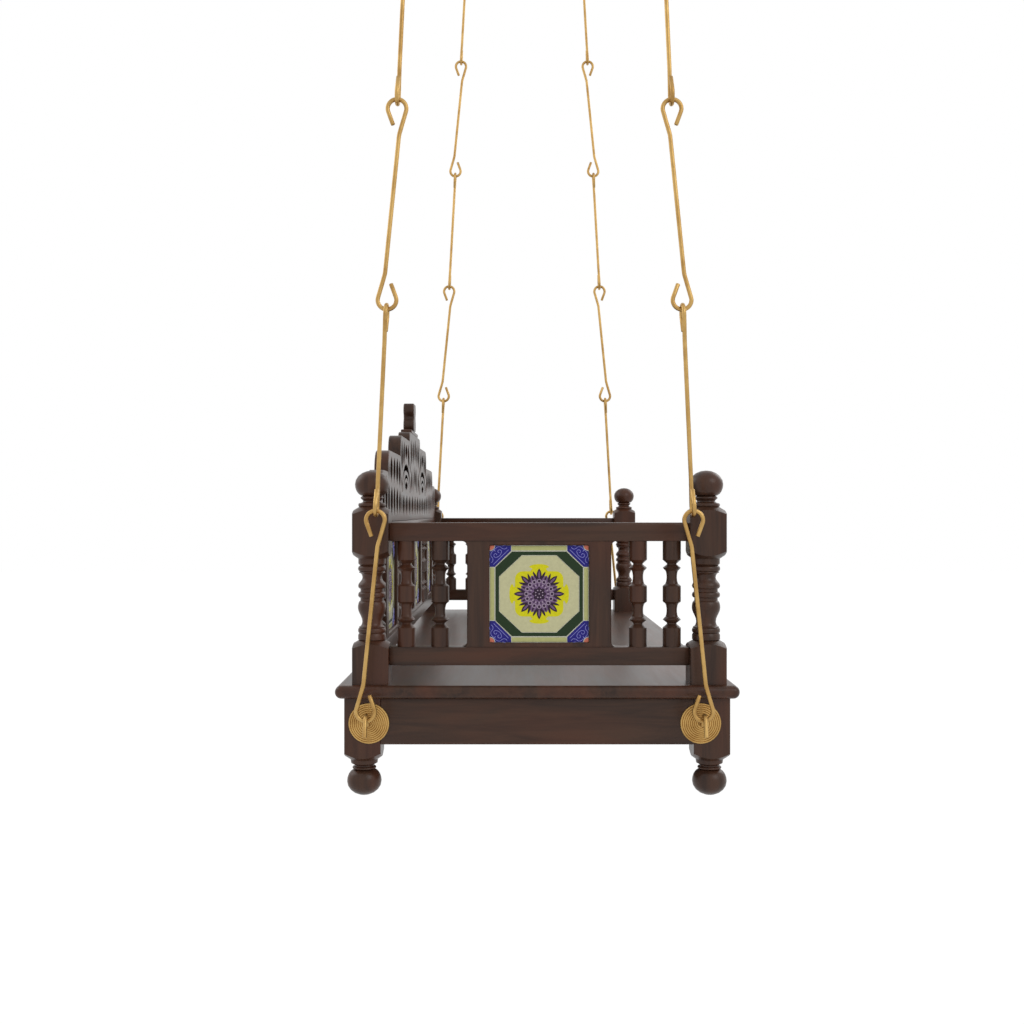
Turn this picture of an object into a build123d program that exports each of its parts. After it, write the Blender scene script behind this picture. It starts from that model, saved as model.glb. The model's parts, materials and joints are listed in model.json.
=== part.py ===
"""Jhoola: a carved wooden swing seat on four brass rod chains, hung from the ceiling.

Millimetres, +Z up. The origin is in the ceiling plane, midway between the four hanging points.
X runs along the seat, from the left arm (-X) to the right arm (+X). The sitter faces -Y.
"""

import os
from math import asin, cos, degrees, pi, radians, sin

from build123d import *

os.makedirs("parts", exist_ok=True)

# ---- Driving dimensions: chains -------------------------------------------------------------
WIRE_R = 3.25  # brass rod of the links and hook bolts
ROD_SIDES = 6  # the rod's section is drawn as a hexagon, so that 24 links stay light
CROOK_BENDS = 4  # even bends round each hook
LINK_PITCH = 304.95  # one link, contact to contact
LINK_COUNT = 6
CROOK_R = 13.1  # rod centre line round each hook of a link
NECK_DROP = 53.0  # from a hook's outer top down to the bend of the neck
NECK_OFFSET = 5.0
TIP_DROP = 38.0  # from a hook's outer top down to the end of the rod
TOUCH_GAP = 0.05  # between links of one chain
PIVOT_GAP = 0.5  # where a chain turns on its hanger or hook bolt
LEAN = 3.0  # degrees, each chain leans towards the middle of the seat as it rises
CHAIN_X = 759.0  # chain plane, left and right
CHAIN_Y = 251.5  # foot of the chains, front and back
BACK_DRIFT = 2.05  # back hook bolts stand this much nearer in than their chains, which drift as far out

# ---- Driving dimensions: ceiling fittings ---------------------------------------------------
PIN_DROP = 36.0  # ceiling to hanger pin
PIN_R = 4.0
PIN_HEAD_ACROSS = 13.0
PIN_HEAD = 4.0
PIN_SIDES = 8  # pins turn on their corners in bores with as many flats, so that they stay light
RUNNING_GAP = 0.05  # radial, hanger and hook bolt in their bores
HANGER_THICK = 6.5
HANGER_HALF_WIDTH = 16.0
HANGER_SLOT_R = 9.0  # the hole that the top link hooks into
HANGER_EYE_R = 9.0
PIN_ABOVE_SLOT = 26.0  # pin axis above the middle of the hole
EAR_THICK = 5.0
EAR_R = 11.0
EAR_GAP = 0.5
PLATE_SIZE = 70.0
PLATE_THICK = 6.0
PLATE_EDGE = 2.0
STUD_R = 5.0
STUD_LENGTH = 45.0

# ---- Driving dimensions: hook bolt and rosette ----------------------------------------------
APEX_RISE = 16.7  # rod centre line at the top of the hook, above the shank
SHANK_R = 3.8  # the bolt's round shank
SHANK_BEND = 5.0  # each side of the corner where the rod turns up
HOOK_BENDS = 3
HOOK_FLARE = 16.0  # degrees, lean of the hook's two legs
HOOK_TIP_DROP = 12.0  # end of the rod below the shank
ROSETTE_R = 30.8
ROSETTE_SIDES = 16
ROSETTE_THICK = 5.0
ROSETTE_RIM = 2.0
NUT_ACROSS = 12.0
NUT_THICK = 6.0
WASHER_SIZE = 20.0
WASHER_THICK = 1.6
WASHER_GAP = 0.1
THREAD_END = 4.0

# ---- Driving dimensions: seat ---------------------------------------------------------------
SEAT_LENGTH = 1470.6
SEAT_DEPTH = 610.0
SEAT_Y = -4.7  # middle of the seat, from midway between the chains
SEAT_THICK = 20.0
BULLNOSE_R = 9.8
SHANK_BELOW_SEAT = 57.7  # hook bolt axis below the seat's top
POST_SIZE = 55.3  # square section of posts and legs
TURNED_SIDES = 8  # turned wood is drawn with flat sides, so that 24 pieces stay light
LEG_X = 694.5
LEG_Y = 264.2
APRON_HEIGHT = 70.0
APRON_THICK = 22.0
BATTEN_WIDTH = 45.0
BATTEN_THICK = 25.0
BATTEN_SPACING = 420.0
TENON_R = 10.0  # post tenons, through the seat board into the legs
TENON_IN_LEG = 25.0

# ---- Driving dimensions: upper frame --------------------------------------------------------
FRONT_POST_Y = SEAT_Y - 259.1
BACK_POST_Y = SEAT_Y + 252.4
ARM_RAIL = 28.0  # thickness of the arm rails
BACK_THICK = 23.0  # back rails, back boards and crest
LOW_RAIL_BASE = 27.9  # heights above the seat
LOW_RAIL_TOP = 55.7
TOP_RAIL_BASE = 216.9
TOP_RAIL_TOP = 245.2
RAIL_EDGE = 3.0
TILE_WIDTH = 152.4
TILE_HEIGHT = 149.0
TILE_THICK = 8.0
TILE_FIT = 0.2
STILE = 33.7
ARM_BOARD_THICK = 24.0
SHOULDER_R = 8.0  # where a tile board's edge sweeps out into the rails
ARM_SPINDLES = (151.5, 203.3)  # from the middle of the arm
BACK_TILE_X = 92.0  # the pair of tiles beside the middle
SIDE_TILE_X = 474.0  # the tile near each end
BACK_TILE_RECESS = 5.0
BACKING_THICK = 6.0
INNER_SPINDLE_COUNT = 3

# ---- Driving dimensions: crest --------------------------------------------------------------
# Each step: half its width, its top above the seat and the radius of its rounded shoulder.
CREST_STEPS = ((139.0, 421.0, 18.0), (336.0, 402.3, 28.0), (563.0, 364.0, 34.0), (666.0, 328.0, 34.0))
ARCH_X = 213.0  # middle of each pair of nested arches in the fretwork
ARCH_FOOT = 300.0
ARCHES = ((86.0, 52.0, 11.0), (58.0, 34.0, 9.0))  # half width, rise, opening at the crown
ARCH_STEPS = 5
LEAF_STEPS = 3  # straight steps along each side of a leaf-shaped opening
# Each leaf: its foot from the crest's middle, foot and tip above the seat, width, sideways lean.
MIDDLE_LEAVES = ((0, 258, 290, 20, 0), (0, 314, 346, 22, 0), (0, 366, 411, 24, 0))
PAIRED_LEAVES = (
    (66, 258, 290, 22, 0), (134, 258, 290, 22, 0), (202, 258, 290, 22, 0), (270, 258, 290, 22, 0),
    (40, 302, 354, 15, -16), (80, 302, 346, 18, 6), (50, 358, 404, 26, 0), (96, 354, 404, 24, 4),
    (213, 303, 319, 40, 0), (213, 361, 386, 30, 0), (158, 346, 392, 24, 8), (268, 346, 392, 24, -8),
    (306, 336, 386, 22, 0), (350, 258, 296, 24, 0), (352, 306, 350, 26, 4), (402, 258, 300, 26, 0),
    (402, 310, 356, 34, 0), (452, 258, 300, 24, 4), (456, 312, 354, 26, -4), (502, 258, 300, 28, 0),
    (508, 314, 352, 28, -2), (548, 258, 304, 24, 0), (590, 258, 312, 26, 0), (634, 258, 298, 20, 0),
)
FINIAL_BASE_LENGTH = 166.0
FINIAL_BASE_DEPTH = 22.0
FINIAL_BASE_THICK = 8.0
FINIAL_THICK = 22.0
FINIAL_LOBE = ((15.0, 0.0), (25.0, 6.0), (28.0, 14.5), (25.0, 23.0))  # half width, height
FINIAL_LOBE_HEIGHT = 29.0
FINIAL_LOBE_COUNT = 2

# ---- Worked out from the driving dimensions -------------------------------------------------
CONTACT = 2 * WIRE_R  # between the centre lines of two rods that touch
LINK_HALF = (LINK_PITCH + TOUCH_GAP + CONTACT) / 2  # link centre to a hook's centre line
FIRST_LINK = APEX_RISE - CONTACT - PIVOT_GAP + LINK_HALF  # shank axis to the first link's centre
CHAIN_TOP = FIRST_LINK + (LINK_COUNT - 1) * LINK_PITCH + LINK_HALF
SLOT_CENTRE = CHAIN_TOP - WIRE_R - PIVOT_GAP + HANGER_SLOT_R
HANG = SLOT_CENTRE + PIN_ABOVE_SLOT  # shank axis to hanger pin, along the lean
SHANK_Z = -PIN_DROP - HANG * cos(radians(LEAN))
PIN_Y = CHAIN_Y - HANG * sin(radians(LEAN))
SHANK_Y = {-1: CHAIN_Y, 1: CHAIN_Y - BACK_DRIFT}  # hook bolt axis from the middle, front and back
SEAT_TOP = SHANK_Z + SHANK_BELOW_SEAT
SEAT_BASE = SEAT_TOP - SEAT_THICK
POST_HALF = POST_SIZE / 2
LEG_FACE_X = LEG_X + POST_HALF
LEG_INNER_X = LEG_X - POST_HALF
LEG_INNER_Y = LEG_Y - POST_HALF
CREST_BASE = SEAT_TOP + TOP_RAIL_TOP
FRAME_MID_Y = (FRONT_POST_Y + BACK_POST_Y) / 2
RAIL_SPAN_Y = BACK_POST_Y - FRONT_POST_Y - POST_SIZE
RAIL_SPAN_X = 2 * LEG_INNER_X
PANEL_HEIGHT = TOP_RAIL_BASE - LOW_RAIL_TOP
PANEL_BASE = SEAT_TOP + LOW_RAIL_TOP
PANEL_MID = PANEL_BASE + PANEL_HEIGHT / 2
BOARD_WIDTH = TILE_WIDTH + 2 * STILE

CORNERS = {
    "front_left": (-1, -1),
    "front_right": (1, -1),
    "back_left": (-1, 1),
    "back_right": (1, 1),
}
ENDS = {"left": -1, "right": 1}
POST_SPOTS = [(end * LEG_X, FRONT_POST_Y if side < 0 else BACK_POST_Y) for end, side in CORNERS.values()]


def to_corner(piece, end, side):
    """The front right piece, mirrored to the left end and to the back."""
    if end < 0:
        piece = mirror(piece, about=Plane.YZ)
    if side > 0:
        piece = mirror(piece, about=Plane.XZ)
    return piece


def turn(outline):
    """A turned solid about Z from (radius, height) points, foot to top, cut to flat sides in pairs."""
    with BuildPart() as turned:
        for number in range(TURNED_SIDES // 2):
            angle = number * 360 / TURNED_SIDES
            along = Vector(1, 0, 0).rotate(Axis.Z, angle)
            with BuildSketch(Plane((0, 0, 0), x_dir=along, z_dir=along.rotate(Axis.Z, -90))):
                with BuildLine():
                    Polyline(*outline, *[(-radius, height) for radius, height in reversed(outline)], close=True)
                make_face()
            extrude(amount=POST_SIZE, both=True, mode=Mode.INTERSECT if number else Mode.ADD)
    return turned.part


# ---- Ceiling fittings -----------------------------------------------------------------------
def ceiling_bracket():
    """A square plate against the ceiling, a threaded stud above it and a clevis below it."""
    ear_middle = HANGER_THICK / 2 + EAR_GAP + EAR_THICK / 2
    with BuildPart() as bracket:
        with BuildSketch():
            Rectangle(PLATE_SIZE, PLATE_SIZE)
        extrude(amount=-PLATE_THICK)
        chamfer(bracket.edges().group_by(Axis.Z)[0], PLATE_EDGE)
        with BuildSketch():
            Circle(STUD_R)
        extrude(amount=STUD_LENGTH)
        for side in (-1, 1):
            with BuildSketch(Plane.YZ.offset(side * ear_middle)):
                with Locations((0, -PIN_DROP)):
                    RegularPolygon(EAR_R, 8, major_radius=False, rotation=22.5)
                with Locations((0, -(PIN_DROP + PLATE_THICK) / 2)):
                    Rectangle(2 * EAR_R, PIN_DROP - PLATE_THICK)
                with Locations((0, -PIN_DROP)):
                    RegularPolygon(PIN_R, PIN_SIDES, major_radius=False, mode=Mode.SUBTRACT)
            extrude(amount=EAR_THICK / 2, both=True)
    return bracket.part


def hanger_pin():
    """A pin through the clevis with a hexagonal head and nut."""
    half_length = HANGER_THICK / 2 + EAR_GAP + EAR_THICK
    with BuildPart() as pin:
        with BuildSketch(Plane.YZ):
            with Locations((0, -PIN_DROP)):
                RegularPolygon(PIN_R, PIN_SIDES)
        extrude(amount=half_length, both=True)
        for side in (-1, 1):
            with BuildSketch(Plane.YZ.offset(side * half_length)):
                with Locations((0, -PIN_DROP)):
                    RegularPolygon(PIN_HEAD_ACROSS / 2, 6, major_radius=False)
            extrude(amount=side * PIN_HEAD)
    return pin.part


def hanger():
    """A flat plate: an eye for the hanger pin above, a hole for the top link's hook below."""
    with BuildPart() as plate:
        with BuildSketch(Plane.YZ):
            with Locations((0, SLOT_CENTRE)):
                RegularPolygon(HANGER_HALF_WIDTH, 8, major_radius=False, rotation=22.5)
            with Locations((0, HANG)):
                RegularPolygon(HANGER_EYE_R, 8, major_radius=False, rotation=22.5)
            make_hull()
            with Locations((0, SLOT_CENTRE)):
                RegularPolygon(HANGER_SLOT_R, 8, major_radius=False, rotation=22.5, mode=Mode.SUBTRACT)
            with Locations((0, HANG)):
                RegularPolygon(PIN_R + RUNNING_GAP, PIN_SIDES, major_radius=False, mode=Mode.SUBTRACT)
        extrude(amount=HANGER_THICK / 2, both=True)
    return plate.part


# ---- Chain links and hook bolts -------------------------------------------------------------
def rod(points):
    """Brass rod along a line of points in the XY plane, mitred at each of them."""
    with BuildPart() as bar:
        with BuildLine() as path:
            line = Polyline(*points)
        with BuildSketch(Plane(origin=line @ 0, x_dir=(0, 0, 1), z_dir=line % 0)):
            RegularPolygon(WIRE_R, ROD_SIDES, major_radius=False)
        sweep(path=path.wire(), transition=Transition.RIGHT)
    return bar.part


def crook(neck, centre, tip_y):
    """Corners of a hook in even chords, from its neck over the top, then the end of the rod."""
    reach = (centre - neck).length
    lean = degrees(asin(CROOK_R / reach) - asin(NECK_OFFSET / reach))
    bend = (180 + 2 * lean) / CROOK_BENDS
    spoke = Vector(CROOK_R / cos(radians(bend / 2)), 0)
    corners = [centre + spoke.rotate(Axis.Z, (number + 0.5) * bend - lean) for number in range(CROOK_BENDS)]
    lip = Vector(0, tip_y - corners[-1].Y).rotate(Axis.Z, lean) / cos(radians(lean))
    return corners + [corners[-1] + lip]


def link():
    """One S-shaped link in the XY plane, a hook at each end of its Y axis, the same half a turn round."""
    outer = LINK_HALF + WIRE_R
    neck = Vector(NECK_OFFSET, outer - NECK_DROP)
    upper_half = [neck] + crook(neck, Vector(0, LINK_HALF - CROOK_R), outer - TIP_DROP)
    lower_half = [point * -1 for point in reversed(upper_half)]
    return rod(lower_half + upper_half)


def links(first, turned):
    """Every other link of a chain, upright on the shank axis: crosswise, or lengthwise if turned."""
    upright = link().rotate(Axis.X, 90)
    if not turned:
        upright = upright.rotate(Axis.Z, 90)
    with BuildPart() as chain:
        for number in range(first, LINK_COUNT, 2):
            add(upright.moved(Location((0, 0, FIRST_LINK + number * LINK_PITCH))))
    return chain.part


def hook_bolt():
    """A bolt through the leg whose outer end is bent up and over into an open hook. Its axis is X."""
    inner_end = LEG_INNER_X - WASHER_GAP - WASHER_THICK - NUT_THICK - THREAD_END
    shank_end = LEG_FACE_X + ROSETTE_THICK + THREAD_END
    middle = Vector(CHAIN_X, APEX_RISE - CROOK_R)
    bend = (180 - 2 * HOOK_FLARE) / HOOK_BENDS
    spoke = Vector(-CROOK_R / cos(radians(bend / 2)), 0)
    corners = [middle + spoke.rotate(Axis.Z, -HOOK_FLARE - (number + 0.5) * bend) for number in range(HOOK_BENDS)]
    rise = Vector(0, 1).rotate(Axis.Z, -HOOK_FLARE)
    shank_corner = corners[0] - rise * (corners[0].Y / rise.Y)
    fall = Vector(0, -1).rotate(Axis.Z, HOOK_FLARE)
    tip = corners[-1] + fall * ((corners[-1].Y + HOOK_TIP_DROP) / -fall.Y)
    path = [(shank_end - 1, 0), shank_corner - (SHANK_BEND, 0), shank_corner + rise * SHANK_BEND, *corners, tip]
    with BuildPart() as bolt:
        add(rod(path))
        with BuildSketch(Plane.YZ.offset(inner_end)):
            RegularPolygon(SHANK_R, PIN_SIDES)
        extrude(amount=shank_end - inner_end)
    return bolt.part.rotate(Axis.X, 90)


def hook_nut():
    """The nut and washer on the inner face of the leg."""
    washer_face = LEG_INNER_X - WASHER_GAP
    with BuildPart() as nut:
        with BuildSketch(Plane.YZ.offset(washer_face)):
            Rectangle(WASHER_SIZE, WASHER_SIZE)
        extrude(amount=-WASHER_THICK)
        with BuildSketch(Plane.YZ.offset(washer_face - WASHER_THICK)):
            RegularPolygon(NUT_ACROSS / 2, 6, major_radius=False)
        extrude(amount=-NUT_THICK)
        with BuildSketch(Plane.YZ.offset(washer_face)):
            RegularPolygon(SHANK_R, PIN_SIDES, major_radius=False)
        extrude(amount=-WASHER_THICK - NUT_THICK, mode=Mode.SUBTRACT)
    return nut.part


def rosette():
    """A shallow dome round the hook bolt, against the end of the leg."""
    with BuildPart() as disc:
        with BuildSketch(Plane.YZ.offset(LEG_FACE_X)):
            RegularPolygon(ROSETTE_R, ROSETTE_SIDES)
        extrude(amount=ROSETTE_THICK)
        chamfer(disc.faces().sort_by(Axis.X)[-1].edges(), ROSETTE_THICK - ROSETTE_RIM, 2 * ROSETTE_THICK)
        with BuildSketch(Plane.YZ.offset(LEG_FACE_X)):
            RegularPolygon(SHANK_R + RUNNING_GAP, PIN_SIDES, major_radius=False)
        extrude(amount=ROSETTE_THICK, mode=Mode.SUBTRACT)
    return disc.part


hanging_points = [Location((end * CHAIN_X, side * PIN_Y, 0)) for end, side in CORNERS.values()]
bracket_piece = ceiling_bracket()
pin_piece = hanger_pin()

with BuildPart() as ceiling_brackets:
    for point in hanging_points:
        add(bracket_piece.moved(point))
ceiling_brackets.part.label = "ceiling_brackets"
export_step(ceiling_brackets.part, "parts/ceiling_brackets.step")

with BuildPart() as hanger_pins:
    for point in hanging_points:
        add(pin_piece.moved(point))
hanger_pins.part.label = "hanger_pins"
export_step(hanger_pins.part, "parts/hanger_pins.step")

# Made for the front right corner: hangers and links lean towards the middle of the seat.
chain_foot = Location((CHAIN_X, -CHAIN_Y, SHANK_Z)) * Rotation(-LEAN, 0, 0)
corner_pieces = {
    "hanger": chain_foot * hanger(),
    "links_across": chain_foot * links(first=0, turned=False),
    "links_along": chain_foot * links(first=1, turned=True),
    "hook_bolt": hook_bolt(),
    "hook_nut": hook_nut(),
}
for corner, (end, side) in CORNERS.items():
    shank_line = Location((0, -SHANK_Y[side], SHANK_Z))
    for kind, piece in corner_pieces.items():
        placed = shank_line * piece if kind.startswith("hook") else piece
        corner_piece = to_corner(placed, end, side)
        corner_piece.label = f"{corner}_{kind}"
        export_step(corner_piece, f"parts/{corner_piece.label}.step")

rosette_piece = rosette()
placed_rosettes = [to_corner(Location((0, -SHANK_Y[side], SHANK_Z)) * rosette_piece, end, side)
                   for end, side in CORNERS.values()]
with BuildPart() as rosettes:
    for piece in placed_rosettes:
        add(piece)
rosettes.part.label = "rosettes"
export_step(rosettes.part, "parts/rosettes.step")


# ---- Seat -----------------------------------------------------------------------------------
with BuildPart() as seat_board:
    with BuildSketch(Plane.XY.offset(SEAT_BASE)):
        with Locations((0, SEAT_Y)):
            Rectangle(SEAT_LENGTH, SEAT_DEPTH)
    extrude(amount=SEAT_THICK)
    rims = seat_board.edges().group_by(Axis.Z)
    fillet(rims[0] + rims[-1], BULLNOSE_R)
    with BuildSketch(Plane.XY.offset(SEAT_BASE)):
        with Locations(*POST_SPOTS):
            RegularPolygon(TENON_R, TURNED_SIDES)
    extrude(amount=SEAT_THICK, mode=Mode.SUBTRACT)
seat_board.part.label = "seat_board"
export_step(seat_board.part, "parts/seat_board.step")

apron_middle = SEAT_BASE - APRON_HEIGHT / 2
for name, side in {"front": -1, "back": 1}.items():
    with BuildPart() as apron:
        with Locations((0, SEAT_Y + side * (LEG_Y + POST_HALF - APRON_THICK / 2), apron_middle)):
            Box(RAIL_SPAN_X, APRON_THICK, APRON_HEIGHT)
    apron.part.label = f"{name}_apron"
    export_step(apron.part, f"parts/{name}_apron.step")
for name, end in ENDS.items():
    with BuildPart() as apron:
        with Locations((end * (LEG_FACE_X - APRON_THICK / 2), SEAT_Y, apron_middle)):
            Box(APRON_THICK, 2 * LEG_INNER_Y, APRON_HEIGHT)
    apron.part.label = f"{name}_apron"
    export_step(apron.part, f"parts/{name}_apron.step")

with BuildPart() as seat_battens:
    with BuildSketch(Plane.XY.offset(SEAT_BASE)):
        with Locations(*[(number * BATTEN_SPACING, SEAT_Y) for number in (-1, 0, 1)]):
            Rectangle(BATTEN_WIDTH, 2 * (LEG_Y + POST_HALF - APRON_THICK))
    extrude(amount=-BATTEN_THICK)
seat_battens.part.label = "seat_battens"
export_step(seat_battens.part, "parts/seat_battens.step")

# Turned outlines are (radius, height) points. A square block is drawn wide and cut square after.
BLOCK_R = 39.5  # just outside the corners of the square section
LEG_OUTLINE = [(10, -151.5), (20.5, -145.5), (26.1, -134.5), (26.1, -126.5), (20.5, -115.5), (14, -111.7),
               (17.3, -110.5), (17.3, -106), (14.5, -104), (21.3, -101.7), (21.3, -96), (15.5, -91.5),
               (24, -89.7), (BLOCK_R, -80.7), (BLOCK_R, 0)]
POST_OUTLINE = [(BLOCK_R, 0), (BLOCK_R, 51), (24, 66), (21.3, 66.7), (21.3, 80), (15, 94.3), (21.6, 115),
                (17.8, 127), (21.2, 134), (17.8, 142), (21.3, 148.7), (14.7, 161), (20.8, 169), (20.8, 175),
                (18, 179), (21, 183), (21, 190), (BLOCK_R, 203), (BLOCK_R, 256), (24, 268),
                (21.1, 270), (21.1, 274), (13.9, 277), (17.5, 282.5), (14, 286),
                (20.5, 290), (26.1, 300.5), (26.1, 308), (20.5, 319), (10, 325)]
SPINDLE_OUTLINE = [(13.9, 0), (13.9, 28), (8.2, 35.6), (13.9, 42.2), (8, 55.5), (13.9, 70.5)]


def cut_square(outline):
    """A turned piece whose blocks are cut square."""
    with BuildPart() as piece:
        add(turn(outline))
        Box(POST_SIZE, POST_SIZE, 1000, mode=Mode.INTERSECT)
    return piece.part


leg_piece = cut_square(LEG_OUTLINE)
post_piece = cut_square(POST_OUTLINE)
for (corner, (end, side)), (post_x, post_y) in zip(CORNERS.items(), POST_SPOTS):
    with BuildPart() as leg:
        add(leg_piece.moved(Location((end * LEG_X, SEAT_Y + side * LEG_Y, SEAT_BASE))))
        with BuildSketch(Plane.XY.offset(SEAT_BASE)):
            with Locations((post_x, post_y)):
                RegularPolygon(TENON_R, TURNED_SIDES)
        extrude(amount=-TENON_IN_LEG, mode=Mode.SUBTRACT)
        with BuildSketch(Plane.YZ.offset(end * LEG_X)):
            with Locations((side * SHANK_Y[side], SHANK_Z)):
                RegularPolygon(SHANK_R + RUNNING_GAP, PIN_SIDES, major_radius=False)
        extrude(amount=POST_SIZE, both=True, mode=Mode.SUBTRACT)
    leg.part.label = f"{corner}_leg"
    export_step(leg.part, f"parts/{corner}_leg.step")

    with BuildPart() as post:
        add(post_piece.moved(Location((post_x, post_y, SEAT_TOP))))
        with BuildSketch(Plane.XY.offset(SEAT_TOP)):
            with Locations((post_x, post_y)):
                RegularPolygon(TENON_R, TURNED_SIDES)
        extrude(amount=-SEAT_THICK - TENON_IN_LEG)
    post.part.label = f"{corner}_post"
    export_step(post.part, f"parts/{corner}_post.step")


# ---- Arms and back --------------------------------------------------------------------------
def spindle():
    """A turned spindle, the same from both ends, standing on z 0."""
    upper = [(radius, PANEL_HEIGHT - height) for radius, height in reversed(SPINDLE_OUTLINE)]
    return turn(SPINDLE_OUTLINE + upper)


def tile_board(thickness, tile_places):
    """A board on edge in the XZ plane, cut out for tiles, its ends swept out into both rails."""
    length = max(tile_places) - min(tile_places) + BOARD_WIDTH
    with BuildPart() as board:
        with BuildSketch(Plane.XZ.offset(-thickness / 2)):
            Rectangle(length, PANEL_HEIGHT)
            with GridLocations(length + SHOULDER_R, PANEL_HEIGHT - SHOULDER_R, 2, 2):
                Rectangle(SHOULDER_R, SHOULDER_R)
            with GridLocations(length + 2 * SHOULDER_R, PANEL_HEIGHT - 2 * SHOULDER_R, 2, 2):
                Circle(SHOULDER_R, mode=Mode.SUBTRACT)
            with Locations(*[(place, 0) for place in tile_places]):
                Rectangle(TILE_WIDTH + 2 * TILE_FIT, TILE_HEIGHT + 2 * TILE_FIT, mode=Mode.SUBTRACT)
        extrude(amount=thickness)
    return board.part


def plate(thickness, face_y):
    """A tile or its backing, in the XZ plane, from face_y towards +Y."""
    with BuildPart() as tile:
        with BuildSketch(Plane.XZ.offset(-face_y)):
            Rectangle(TILE_WIDTH, TILE_HEIGHT)
        extrude(amount=-thickness)
    return tile.part


def rail(length, thickness, base, top, eased):
    """A rail along X, its two upper edges rounded if it is eased."""
    with BuildPart() as bar:
        with Locations((0, 0, SEAT_TOP + (base + top) / 2)):
            Box(length, thickness, top - base)
        if eased:
            fillet(bar.edges().filter_by(Axis.X).group_by(Axis.Z)[-1], RAIL_EDGE)
    return bar.part


spindle_piece = spindle()
for name, end in ENDS.items():
    # An arm is made lengthways along X, its outer face towards -Y, then turned to its end of the seat.
    to_arm = Location((end * LEG_X, FRAME_MID_Y, 0)) * Rotation(0, 0, 90 * end)
    arm_tile = plate(TILE_THICK, -TILE_THICK)
    panel = Location((0, 0, PANEL_MID))
    arm_pieces = {
        "arm_top_rail": rail(RAIL_SPAN_Y, ARM_RAIL, TOP_RAIL_BASE, TOP_RAIL_TOP, eased=True),
        "arm_low_rail": rail(RAIL_SPAN_Y, ARM_RAIL, LOW_RAIL_BASE, LOW_RAIL_TOP, eased=False),
        "arm_tile_board": panel * tile_board(ARM_BOARD_THICK, [0]),
        "arm_outer_tile": panel * arm_tile,
        "arm_inner_tile": panel * Rotation(0, 0, 180) * arm_tile,
    }
    for kind, piece in arm_pieces.items():
        arm_piece = to_arm * piece
        arm_piece.label = f"{name}_{kind}"
        export_step(arm_piece, f"parts/{arm_piece.label}.step")
    with BuildPart() as arm_spindles:
        for place in ARM_SPINDLES:
            for direction in (-1, 1):
                add(spindle_piece.moved(to_arm * Location((direction * place, 0, PANEL_BASE))))
    arm_spindles.part.label = f"{name}_arm_spindles"
    export_step(arm_spindles.part, f"parts/{name}_arm_spindles.step")

back_plane = Location((0, BACK_POST_Y, 0))
back_panel = Location((0, BACK_POST_Y, PANEL_MID))
tile_face = BACK_TILE_RECESS - BACK_THICK / 2
back_tiles_x = [-SIDE_TILE_X, -BACK_TILE_X, BACK_TILE_X, SIDE_TILE_X]
back_pieces = {
    "back_top_rail": back_plane * rail(RAIL_SPAN_X, BACK_THICK, TOP_RAIL_BASE, TOP_RAIL_TOP, eased=False),
    "back_low_rail": back_plane * rail(RAIL_SPAN_X, BACK_THICK, LOW_RAIL_BASE, LOW_RAIL_TOP, eased=True),
    "back_middle_board": back_panel * tile_board(BACK_THICK, [-BACK_TILE_X, BACK_TILE_X]),
}
for name, end in ENDS.items():
    back_pieces[f"back_{name}_board"] = back_panel * Pos(end * SIDE_TILE_X, 0, 0) * tile_board(BACK_THICK, [0])
for name, piece in back_pieces.items():
    piece.label = name
    export_step(piece, f"parts/{name}.step")

with BuildPart() as back_tiles:
    for place in back_tiles_x:
        add(back_panel * Pos(place, 0, 0) * plate(TILE_THICK, tile_face))
back_tiles.part.label = "back_tiles"
export_step(back_tiles.part, "parts/back_tiles.step")

with BuildPart() as back_tile_backings:
    for place in back_tiles_x:
        add(back_panel * Pos(place, 0, 0) * plate(BACKING_THICK, tile_face + TILE_THICK))
back_tile_backings.part.label = "back_tile_backings"
export_step(back_tile_backings.part, "parts/back_tile_backings.step")

middle_board_end = BACK_TILE_X + BOARD_WIDTH / 2
side_board_inner = SIDE_TILE_X - BOARD_WIDTH / 2
side_board_outer = SIDE_TILE_X + BOARD_WIDTH / 2
inner_step = (side_board_inner - middle_board_end) / (INNER_SPINDLE_COUNT + 1)
spindle_places = [middle_board_end + inner_step * (number + 1) for number in range(INNER_SPINDLE_COUNT)]
spindle_places.append((side_board_outer + LEG_INNER_X) / 2)
with BuildPart() as back_spindles:
    for place in spindle_places:
        for end in ENDS.values():
            add(spindle_piece.moved(Location((end * place, BACK_POST_Y, PANEL_BASE))))
back_spindles.part.label = "back_spindles"
export_step(back_spindles.part, "parts/back_spindles.step")


# ---- Crest ----------------------------------------------------------------------------------
def leaf(foot_x, low, high, width, lean):
    """Corners of a pointed leaf, up one side and down the other, heights above the seat."""
    shares = [number / LEAF_STEPS for number in range(LEAF_STEPS + 1)]
    up = [(foot_x + lean * share + width / 2 * sin(pi * share), low + (high - low) * share) for share in shares]
    down = [(foot_x + lean * share - width / 2 * sin(pi * share), low + (high - low) * share) for share in shares]
    return up + down[-2:0:-1]


def arch(middle_x, half_width, rise, opening):
    """Corners of an arched opening that thins towards its feet."""
    turns = [number * pi / ARCH_STEPS for number in range(ARCH_STEPS + 1)]
    outer = [(middle_x + half_width * cos(turn), ARCH_FOOT + rise * sin(turn)) for turn in turns]
    inner = [(middle_x + (half_width - opening / 2) * cos(turn), ARCH_FOOT + (rise - opening) * sin(turn))
             for turn in turns]
    return outer + inner[::-1]


openings = [leaf(*values) for values in MIDDLE_LEAVES]
for end in ENDS.values():
    openings += [leaf(end * foot_x, low, high, width, end * lean) for foot_x, low, high, width, lean in PAIRED_LEAVES]
    openings += [arch(end * ARCH_X, *values) for values in ARCHES]

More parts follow.
